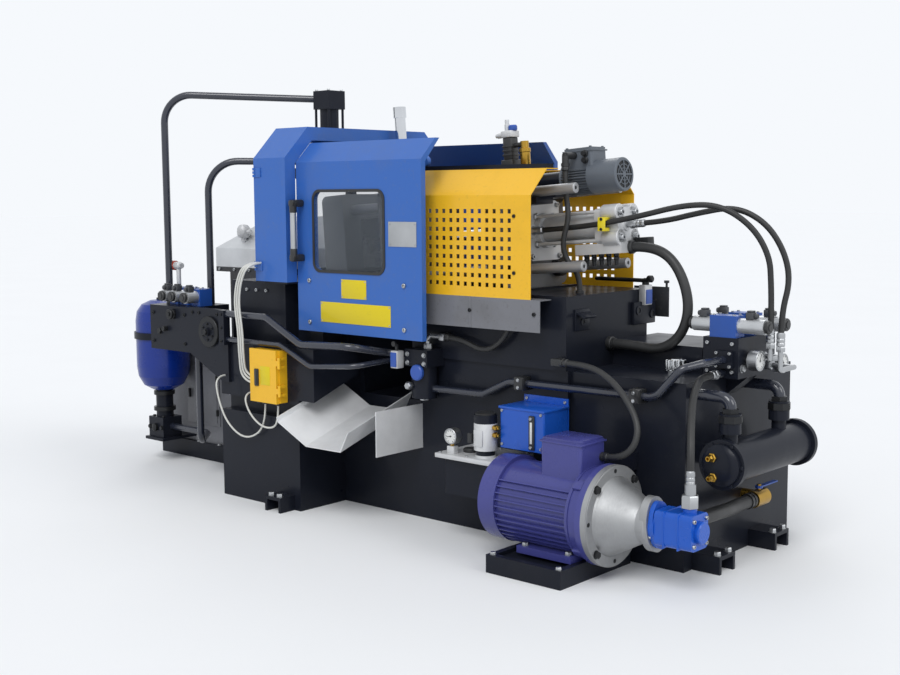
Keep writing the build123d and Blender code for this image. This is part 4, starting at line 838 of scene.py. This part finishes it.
bm = bmesh.new()
shell = [(37.6, 0), (37.6, 86), (35, 92), (35, 104), (31, 110)]
lathe(bm, shell, (738, -358, 316), "z", 36)
lathe(bm, ring(30, 34, 0, 8), (738, -358, 292), "z", 32)
piece("oiler_motor", bm, silver_cast)
bm = bmesh.new()
lathe(bm, [(31, 0), (33, 3), (33, 10), (26, 14)], (738, -358, 424), "z", 32)
block(bm, (700, -404, 340), (716, -392, 372), 2)
lathe(bm, [(22, 0), (24, 3), (24, 10), (20, 14)], (650, -330, 292), "z", 28)
piece("oiler_caps", bm, black_plastic)
bm = bmesh.new()
screws(bm, ((582, 696, 810), (-402, -232), 293), "z", 5, 4)
screws(bm, ((800, 954), -350, (342, 449)), "-y", 4.5, 4)
screws(bm, ((801, 953), -224, 473), "-y", 5, 4)
piece("oiler_screws", bm, zinc)

# Lid of the blue oil tank, folded from the same sheet, and its level glass in a black moulded
# frame held by two screws.
bm = bmesh.new()
block(bm, (786, -353, 455), (968, -221, 463), 2)
piece("oil_tank_lid", bm, pump_enamel)
bm = bmesh.new()
block(bm, (909, -357, 336), (931, -350, 444), 3)
piece("level_glass_frame", bm, black_plastic)
bm = bmesh.new()
block(bm, (916, -358.5, 356), (924, -356, 424), 1)
piece("level_glass", bm, dial_white)
bm = bmesh.new()
screws(bm, (920, -357, (345, 435)), "-y", 5, 5)
piece("level_glass_screws", bm, zinc)

# Lid plate and small fittings of the oil box: dull cast aluminium, with brass unions screwed into
# its pump.
bm = bmesh.new()
block(bm, (568, -414, 278), (824, -218, 293), 2)
block(bm, (607, -398, 292), (637, -374, 318), 2)
block(bm, (720, -398, 330), (756, -392, 384), 3)
piece("oiler_lid", bm, silver_cast)
bm = bmesh.new()
for z in (368, 392):
    lathe(bm, [(8, 0), (8, 10), (10, 10), (10, 18), (6, 20), (6, 26)], (772, -362, z), "x", 6)
lathe(bm, [(7, 0), (7, 10), (9, 10), (9, 18)], (622, -386, 318), "z", 6)
piece("oiler_unions", bm, brass)

# Main drive: a ribbed cast motor in violet-blue gloss enamel, bolted by its feet to the pedestal,
# with the bell housing bolted to its flange. Four of the eight flange holes are empty.
motor_enamel = enamel("violet-blue gloss enamel", "motor_paint", "#414486", "#2F3150", 0.2, 0.25, 0.35)
dress(motor_enamel, "main_motor")

MOTOR_Y, MOTOR_Z = -396.0, 192.0


def on_motor(x, degrees):
    """The frame of the motor's shaft at a distance in metres, turned about the shaft."""
    seat = Matrix.Translation((x, MOTOR_Y / 1000, MOTOR_Z / 1000))
    return seat @ Matrix.Rotation(radians(degrees), 4, "X")


bm = bmesh.new()
for across, rise in circle(4, 1, 45):
    screw(bm, (1404, MOTOR_Y + 54 * across, MOTOR_Z + 42 * rise), "x", 5, 5)
screws(bm, ((1000, 1160), (MOTOR_Y - 90, MOTOR_Y + 90), 78), "z", 10, 9, hex_head)
screws(bm, ((940, 1184), (-566, -250), 56), "z", 9, 8, hex_head)
screws(bm, ((1052, 1170), (-450, -348), 402), "z", 5, 4)
piece("main_motor_bolts", bm, zinc)
# Bolts in four of the flange holes; the four empty holes are flat dark discs of painted shade.
bm = bmesh.new()
for k, (across, rise) in enumerate(circle(8, 134)):
    place = (1261, MOTOR_Y + across, MOTOR_Z + rise)
    if k % 2:
        hex_head(bm, place, "x", 11, 11)
    else:
        pin(bm, 6.5, 0.6, place, "x", 20)
piece("flange_bolts_and_hole_shade", bm, black_oxide_and_hole_shade)

# Lid of the motor's terminal box, the lifting eye and the rings of the end shields: castings,
# sprayed with the motor.
bm = bmesh.new()
block(bm, (1035, -465, 396), (1187, -333, 402), 1.5)
block(bm, (1040, -460, 398), (1182, -338, 414), 12)
block(bm, (1050, -458, 262), (1172, -334, 308), 3)
eye = [(13 + out, along) for out, along in circle(8, 3.4)]
lathe(bm, eye + eye[:1], (1004, MOTOR_Y, 352), "y", 28)
pin(bm, 5, 26, (1004, MOTOR_Y, 314), "z", 16)
lathe(bm, [(122, 0), (138, 0), (139, 2), (139, 10), (122, 10), (122, 0)], (1178, MOTOR_Y, MOTOR_Z), "x", 56)
lathe(bm, ring(122, 134, 0, 8), (902, MOTOR_Y, MOTOR_Z), "x", 56)
for k in range(4):
    block(bm, (-10, -14, 122), (22, 14, 146), 3, on_motor(1.196, 45 + 90 * k))
piece("main_motor_castings", bm, motor_enamel)


# Bell housing: the steps, the rim and the two-bolt oval flange of the casting, left rough from the
# lathe. Its metal is duller and more clouded than the other castings.
def oval_flange(bm, x, radius, depth):
    """Adds the oval two-bolt flange between the bell and the pump, in metres."""
    placed = on_motor(x, 12) @ Matrix.Diagonal((1, 0.66, 1, 1)) @ Matrix.Rotation(radians(90), 4, "Y")
    bmesh.ops.create_cone(
        bm, cap_ends=True, segments=40, radius1=radius, radius2=radius, depth=depth, matrix=placed,
    )


bell_cast = steel("rough-turned aluminium casting", "aluminium", "#A9AAAB", 0.56, 0.14, (1.0, 0.2, 0.2))
dress(bell_cast, "bell_housing")
bm = bmesh.new()
rim = [(118, 18), (146, 18), (150, 14), (150, 2), (118, 2), (118, 18)]
lathe(bm, rim, (1243, MOTOR_Y, MOTOR_Z), "x", 64)
for height, radius in ((24, 116), (52, 99), (80, 84), (108, 68)):
    low, high = height - 3, height + 2
    groove = [(radius - 6, low), (radius, low), (radius - 2, high), (radius - 6, high), (radius - 6, low)]
    lathe(bm, groove, (1242, MOTOR_Y, MOTOR_Z), "x", 64)
oval_flange(bm, 1.392, 0.084, 0.024)
piece("bell_turned_steps", bm, bell_cast)

# Pump: cast iron in bright blue gloss, with an oval mounting flange, an end cover held by four
# screws and a zinc-plated nut on its port.
bm = bmesh.new()
oval_flange(bm, 1.412, 0.072, 0.014)
for x in (1450, 1496):
    block(bm, (x, MOTOR_Y - 47, MOTOR_Z - 52), (x + 5, MOTOR_Y + 47, MOTOR_Z + 54), 2)
lathe(bm, [(31, 0), (32, 3), (32, 12), (29, 15)], (1542, MOTOR_Y, MOTOR_Z), "x", 36)
piece("pump_castings", bm, pump_enamel)
bm = bmesh.new()
screws(bm, (1542, (MOTOR_Y - 33, MOTOR_Y + 33), (MOTOR_Z - 34, MOTOR_Z + 36)), "x", 6, 6)
lathe(bm, [(26, 0), (26, 32), (23, 36)], (1510, MOTOR_Y, 258), "z", 6)
pin(bm, 16, 32, (1510, MOTOR_Y, 292), "z", 24)
piece("pump_screws", bm, zinc)

# Oil cooler on the end of the tank: a steel shell in the dark enamel between two bolted caps, with
# brass nipples for its water. The ball valve of the suction line is brass too.
dress(bed_enamel, "oil_cooler")
dress(brass, "ball_valve")

bm = bmesh.new()
cap = [(40, 10), (52, 6), (60, 0)]
for end, flange, way in ((-218, -208, "-y"), (268, 258, "y")):
    lathe(bm, cap, (1500, end, 345), way, 48)
    for across, rise in circle(6, 66):
        hex_head(bm, (1500 + across, flange, 345 + rise), way, 6, 5)
piece("cooler_caps", bm, bed_enamel)
bm = bmesh.new()
for x, z in ((1481, 368), (1484, 310)):
    nipple = [(14, 6), (14, 14), (11, 16), (11, 24), (8, 28), (8, 36), (5, 36), (5, 26)]
    lathe(bm, nipple, (x, -218, z), "-y", 6)
piece("cooler_nipples", bm, brass)
bm = bmesh.new()
for y in (-160, 140):
    lathe(bm, [(32, 0), (36, 2), (36, 22), (32, 24), (32, 0)], (1500, y, 462), "z", 8)
    lathe(bm, ring(17, 26, 0, 14), (1500, y, 490), "z", 6)
piece("cooler_nuts", bm, black_oxide_and_hole_shade)

# Black nylon blocks that clamp the long pipe to the bed and the tank, each closed by a plate and
# two bolts, and the bolts of the filter's head.
bm = bmesh.new()
for x, y0, y1 in ((776, -262, -221), (1206, -250, -206)):
    block(bm, (x, y0, 500), (x + 38, y1, 544), 3)
    block(bm, (x + 2, y0 - 3, 504), (x + 36, y0, 540), 1)
piece("pipe_clamps", bm, black_plastic)
bm = bmesh.new()
for x, y in ((795, -265), (1225, -253)):
    screws(bm, (x, y, (510, 534)), "-y", 5, 4, hex_head)
screws(bm, ((352, 428), -310, (560, 589)), "-y", 7, 6, hex_head)
hex_head(bm, (390, -266, 438), "-z", 16, 10)
piece("pipe_and_filter_bolts", bm, zinc)

# Door switch beside the filter head: a silver die-cast body with a blue lid and a black roller
# lever, screwed to the bed.
bm = bmesh.new()
block(bm, (306, -346, 540), (338, -312, 600), 3)
piece("door_switch", bm, silver_cast)
bm = bmesh.new()
block(bm, (309, -350, 545), (335, -346, 595), 1.5)
piece("door_switch_lid", bm, blue_grip)
bm = bmesh.new()
block(bm, (317, -336, 600), (327, -326, 622), 2)
pin(bm, 9, 8, (322, -340, 624), "-y", 20)
piece("door_switch_lever", bm, black_plastic)

# Fittings of the filter: a round blue cap on its front, a zinc-plated plug beside it, and the bent
# zinc tube that leads from its head to the hose under the apron.
bm = bmesh.new()
lathe(bm, [(0, 0), (25, 0), (27, 3), (27, 12), (23, 16), (0, 17)], (403, -310, 530), "-y", 36)
piece("filter_cap", bm, blue_grip)
bm = bmesh.new()
lathe(bm, [(12, 0), (12, 12), (15, 14), (15, 26), (11, 32)], (366, -298, 482), "-y", 6)
lathe(bm, [(15, 0), (15, 14), (12, 18)], (398, -256, 606), "z", 6)
piece("filter_plug", bm, zinc)

# Travel switch on the far corner of the bed's end: the same silver body with a blue lid, and a
# black steel rod to its roller. The blue grip is dipped vinyl, as on the valve's lever.
bm = bmesh.new()
block(bm, (960, 178, 754), (986, 222, 822), 3)
piece("travel_switch", bm, silver_cast)
bm = bmesh.new()
block(bm, (986, 182, 758), (989, 218, 806), 1.5)
piece("travel_switch_lid", bm, blue_grip)
bm = bmesh.new()
lathe(bm, [(12, 0), (12, 10), (7, 12), (7, 22)], (973, 200, 822), "z", 20)
lathe(bm, [(10, 0), (12, 4), (12, 16), (8, 20)], (984, 196, 842), "x", 20)
pin(bm, 7, 210, (984, 196, 836), "-x", 16)
piece("travel_switch_roller", bm, black_oxide_and_hole_shade)
dress(blue_grip, "valve_lever")

# Filler cap of the oil tank: a polished chrome cap on a collar, its rim cast in ten round lobes
# for the hand.
polished = steel("polished chrome", "chrome", "#D9DBDD", 0.12, 0.04)
bm = bmesh.new()
crown = [(33, 570), (33, 580), (27, 582), (27, 612), (24, 616), (0, 617)]
lathe(bm, crown, (1230, -22, 0), "z", 40)
for across, along in circle(10, 26):
    lathe(bm, [(7.5, 582), (7.5, 611), (6, 613)], (1230 + across, along - 22, 0), "z", 14)
piece("filler_cap_lobed", bm, polished, instead_of=("filler_cap",))

# Hose fittings: pressed steel ferrules with three rings over each hose end, hexagon nuts and bent
# tubes to the manifold, all zinc-plated. The cables have black nylon glands instead.
DRIVE_PORT = on_axis(872, -42, 232)


def rod(bm, start, end, radius, steps=20):
    """Adds a round rod between two places, in millimetres, with a ball at its far end as a mitre."""
    start, end = Vector(start) / 1000, Vector(end) / 1000
    way = (end - start).to_track_quat("Z", "Y").to_matrix().to_4x4()
    placed = Matrix.Translation((start + end) / 2) @ way
    thick = radius / 1000
    bmesh.ops.create_cone(
        bm, cap_ends=True, segments=steps, radius1=thick, radius2=thick, depth=(end - start).length,
        matrix=placed,
    )
    bmesh.ops.create_uvsphere(
        bm, u_segments=steps, v_segments=12, radius=thick, matrix=Matrix.Translation(end),
    )


FERRULE = [(13, 0), (13, 8), (12, 10), (13, 12), (13, 20), (12, 22), (13, 24), (13, 36), (9.6, 40)]
HEX_NUT = [(14, 0), (15, 2), (15, 14), (14, 16)]
bm = bmesh.new()
in_line(bm, HEX_NUT, FLANGE_FACE, -74, 0, 6)
in_line(bm, FERRULE, 714, -74, 0, 24)
pin(bm, 11, 30, on_axis(CAP_FACE, -10, 0), "x", 24, TILTED)
in_line(bm, HEX_NUT, 1052, -10, 0, 6)
in_line(bm, FERRULE, 1068, -10, 0, 24)
for x, y, top, port, port_y in ((1514, 48, 692, 628, 112), (1540, 62, 682, 596, 152)):
    rod(bm, (x, y, top - 8), (x, y, port), 8)
    rod(bm, (x, y, port), (x, port_y, port), 8)
    rod(bm, (x, port_y, port), (1452, port_y, port), 8)
    lathe(bm, HEX_NUT, (1450, port_y, port), "x", 6)
    lathe(bm, HEX_NUT, (x, y, top - 30), "z", 6)
    lathe(bm, FERRULE, (x, y, top - 12), "z", 24)
lathe(bm, FERRULE, (1510, -396, 322), "z", 24)
lathe(bm, HEX_NUT, (1398, -66, 585), "-y", 6)
lathe(bm, FERRULE, (1398, -60, 585), "-y", 24)
block(bm, (458, -272, 638), (482, -230, 662), 4)
elbow = [(398, -256, 620), (398, -256, 634), (414, -256, 650), (462, -256, 650)]
for start, end in zip(elbow, elbow[1:]):
    rod(bm, start, end, 9)
piece("hose_ferrules", bm, zinc, instead_of=("hose_ends",))

GLAND = [(14, 0), (14, 10), (12, 11), (13, 13), (13, 22), (9, 26)]
bm = bmesh.new()
lathe(bm, GLAND, (472, -256, 650), "x", 16)
rod(bm, (940, -230, 604), (940, -258, 604), 12)
block(bm, (928, -270, 592), (966, -246, 616), 4)
lathe(bm, GLAND, (962, -258, 604), "x", 16)
lathe(bm, GLAND, (1182, -354, 352), "x", 16)
rod(bm, (DRIVE_PORT[0], -42, DRIVE_PORT[2]), (DRIVE_PORT[0], -92, DRIVE_PORT[2]), 11)
rod(bm, (DRIVE_PORT[0], -92, DRIVE_PORT[2] - 30), (DRIVE_PORT[0], -92, DRIVE_PORT[2]), 11)
lathe(bm, GLAND, (DRIVE_PORT[0], -92, DRIVE_PORT[2] - 24), "-z", 16)
lathe(bm, [(22, 0), (22, 16), (19, 18), (19, 26)], (958, 5, 642), "x", 24)
in_line(bm, [(22, 0), (22, 12), (18, 16)], 1036, 5, -73, 24)
lathe(bm, [(14, 0), (14, 10), (12, 12)], (904, -80, 805), "z", 16)
for x, y, z, way in ((1482, -325, 200, "y"), (1440, 92, 178, "-y")):
    lathe(bm, ring(21.2, 24, 4, 16), (x, y, z), way, 32)
    lathe(bm, ring(21.2, 24, 22, 34), (x, y, z), way, 32)
piece("cable_glands", bm, black_plastic, instead_of=("hose_ends",))

# Hoses and cables: black rubber hydraulic hose with a cloth-marked cover, a sleeved cable bundle,
# black conduits and white three-core cables, each hung between two fittings.
hose_cover = moulded("black hydraulic hose cover", "hose_rubber", "#0B0C0D", 0.46, 1.5, 0.2)
conduit_cover = moulded("black ribbed conduit", "hose_rubber", "#1A1B1C", 0.5, 2.0, 0.35)
white_pvc = moulded("white cable sheath", "white_cable", "#D2D2CC", 0.42, 1.0, 0.05)


def line(name, points, diameter, finish, node):
    """A hose or cable on a smooth line through its route, in millimetres, for the tube of the CAD."""
    curve = bpy.data.curves.new(name, "CURVE")
    curve.dimensions = "3D"
    curve.resolution_u = 8
    curve.bevel_depth = diameter / 2000
    curve.bevel_resolution = 5
    curve.use_fill_caps = True
    spline = curve.splines.new("NURBS")
    spline.points.add(len(points) - 1)
    for knot, place in zip(spline.points, points):
        knot.co = (place[0] / 1000, place[1] / 1000, place[2] / 1000, 1.0)
    spline.order_u = 3
    spline.use_endpoint_u = True
    curve.materials.append(finish[0])
    made = bpy.data.objects.new(name, curve)
    bpy.context.scene.collection.objects.link(made)
    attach(made, "machine")
    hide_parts(node)


line("clamp_hose_a", [
    on_axis(724, -74, 0), on_axis(850, -74, 0), (980, -72, 1031), (1120, -68, 1056), (1262, -52, 1090),
    (1375, -25, 1092), (1462, 15, 1030), (1508, 42, 940), (1513, 46, 852), (1514, 48, 772), (1514, 48, 692),
], 18, hose_cover, "clamp_hoses")
line("clamp_hose_b", [
    on_axis(1085, -10, 0), on_axis(1175, -10, 0), (1290, -4, 1066), (1400, 20, 1086),
    (1487, 46, 1042), (1538, 70, 960), (1558, 80, 868), (1540, 62, 766), (1540, 62, 682),
], 18, hose_cover, "clamp_hoses")
line("cable_bundle", [
    on_axis(1040, 5, -73), on_axis(1122, 5, -73), (1212, 5, 912), (1262, 5, 792),
    (1238, 5, 688), (1160, 5, 632), (1055, 5, 642), (960, 5, 642),
], 32, conduit_cover, "conduits")
line("drive_conduit", [
    (DRIVE_PORT[0], -92, DRIVE_PORT[2] - 46), (DRIVE_PORT[0], -92, DRIVE_PORT[2] - 110), (874, -98, 1050),
    (846, -98, 975), (850, -82, 912), (904, -80, 868), (904, -80, 807),
], 18, conduit_cover, "conduits")
line("apron_hose", [
    (482, -256, 650), (545, -256, 650), (640, -256, 614),
    (715, -256, 642), (766, -256, 716), (766, -256, 794),
], 18, hose_cover, "conduits")
line("motor_conduit", [
    (985, -258, 604), (1068, -258, 604), (1150, -266, 572), (1226, -292, 524), (1288, -318, 456),
    (1292, -340, 394), (1246, -354, 352), (1184, -354, 352),
], 20, conduit_cover, "conduits")
line("pump_pressure_hose", [
    (1510, -396, 322), (1510, -396, 404), (1482, -350, 478), (1450, -290, 540), (1426, -222, 580),
    (1398, -146, 585), (1398, -75, 585),
], 22, hose_cover, "pump_hose")
line("pump_suction_hose", [
    (1482, -325, 200), (1482, -215, 200), (1466, -100, 188), (1440, 5, 178), (1440, 92, 178),
], 42, hose_cover, "suction_hose")
for k, long in enumerate((0.528, 0.550, 0.571)):
    dx = 12.0 * k
    line(f"white_cable_{k + 1}", [
        (-268 - dx, -420, 884), (-268 - dx, -482, 884), (-306 - dx, -488, 822), (-322 - dx, -488, 735),
        (-306 - dx, -486, 640), (-314 - dx, -478, 550), (-322 - dx, -461, 470 - dx), (-260, -461, 470 - dx),
    ], 8, white_pvc, "white_cables")
line("loop_cable_a", [
    (-452, -455, 460), (-452, -501, 460), (-440, -500, 380), (-405, -490, 290), (-330, -474, 236),
    (-252, -461, 262), (-216, -461, 330), (-216, -461, 390),
], 7, white_pvc, "conduits")
line("loop_cable_b", [
    (-300, -443, 412), (-300, -491, 412), (-286, -486, 345), (-228, -474, 292), (-166, -461, 292),
    (-146, -461, 340), (-146, -461, 390),
], 7, white_pvc, "conduits")
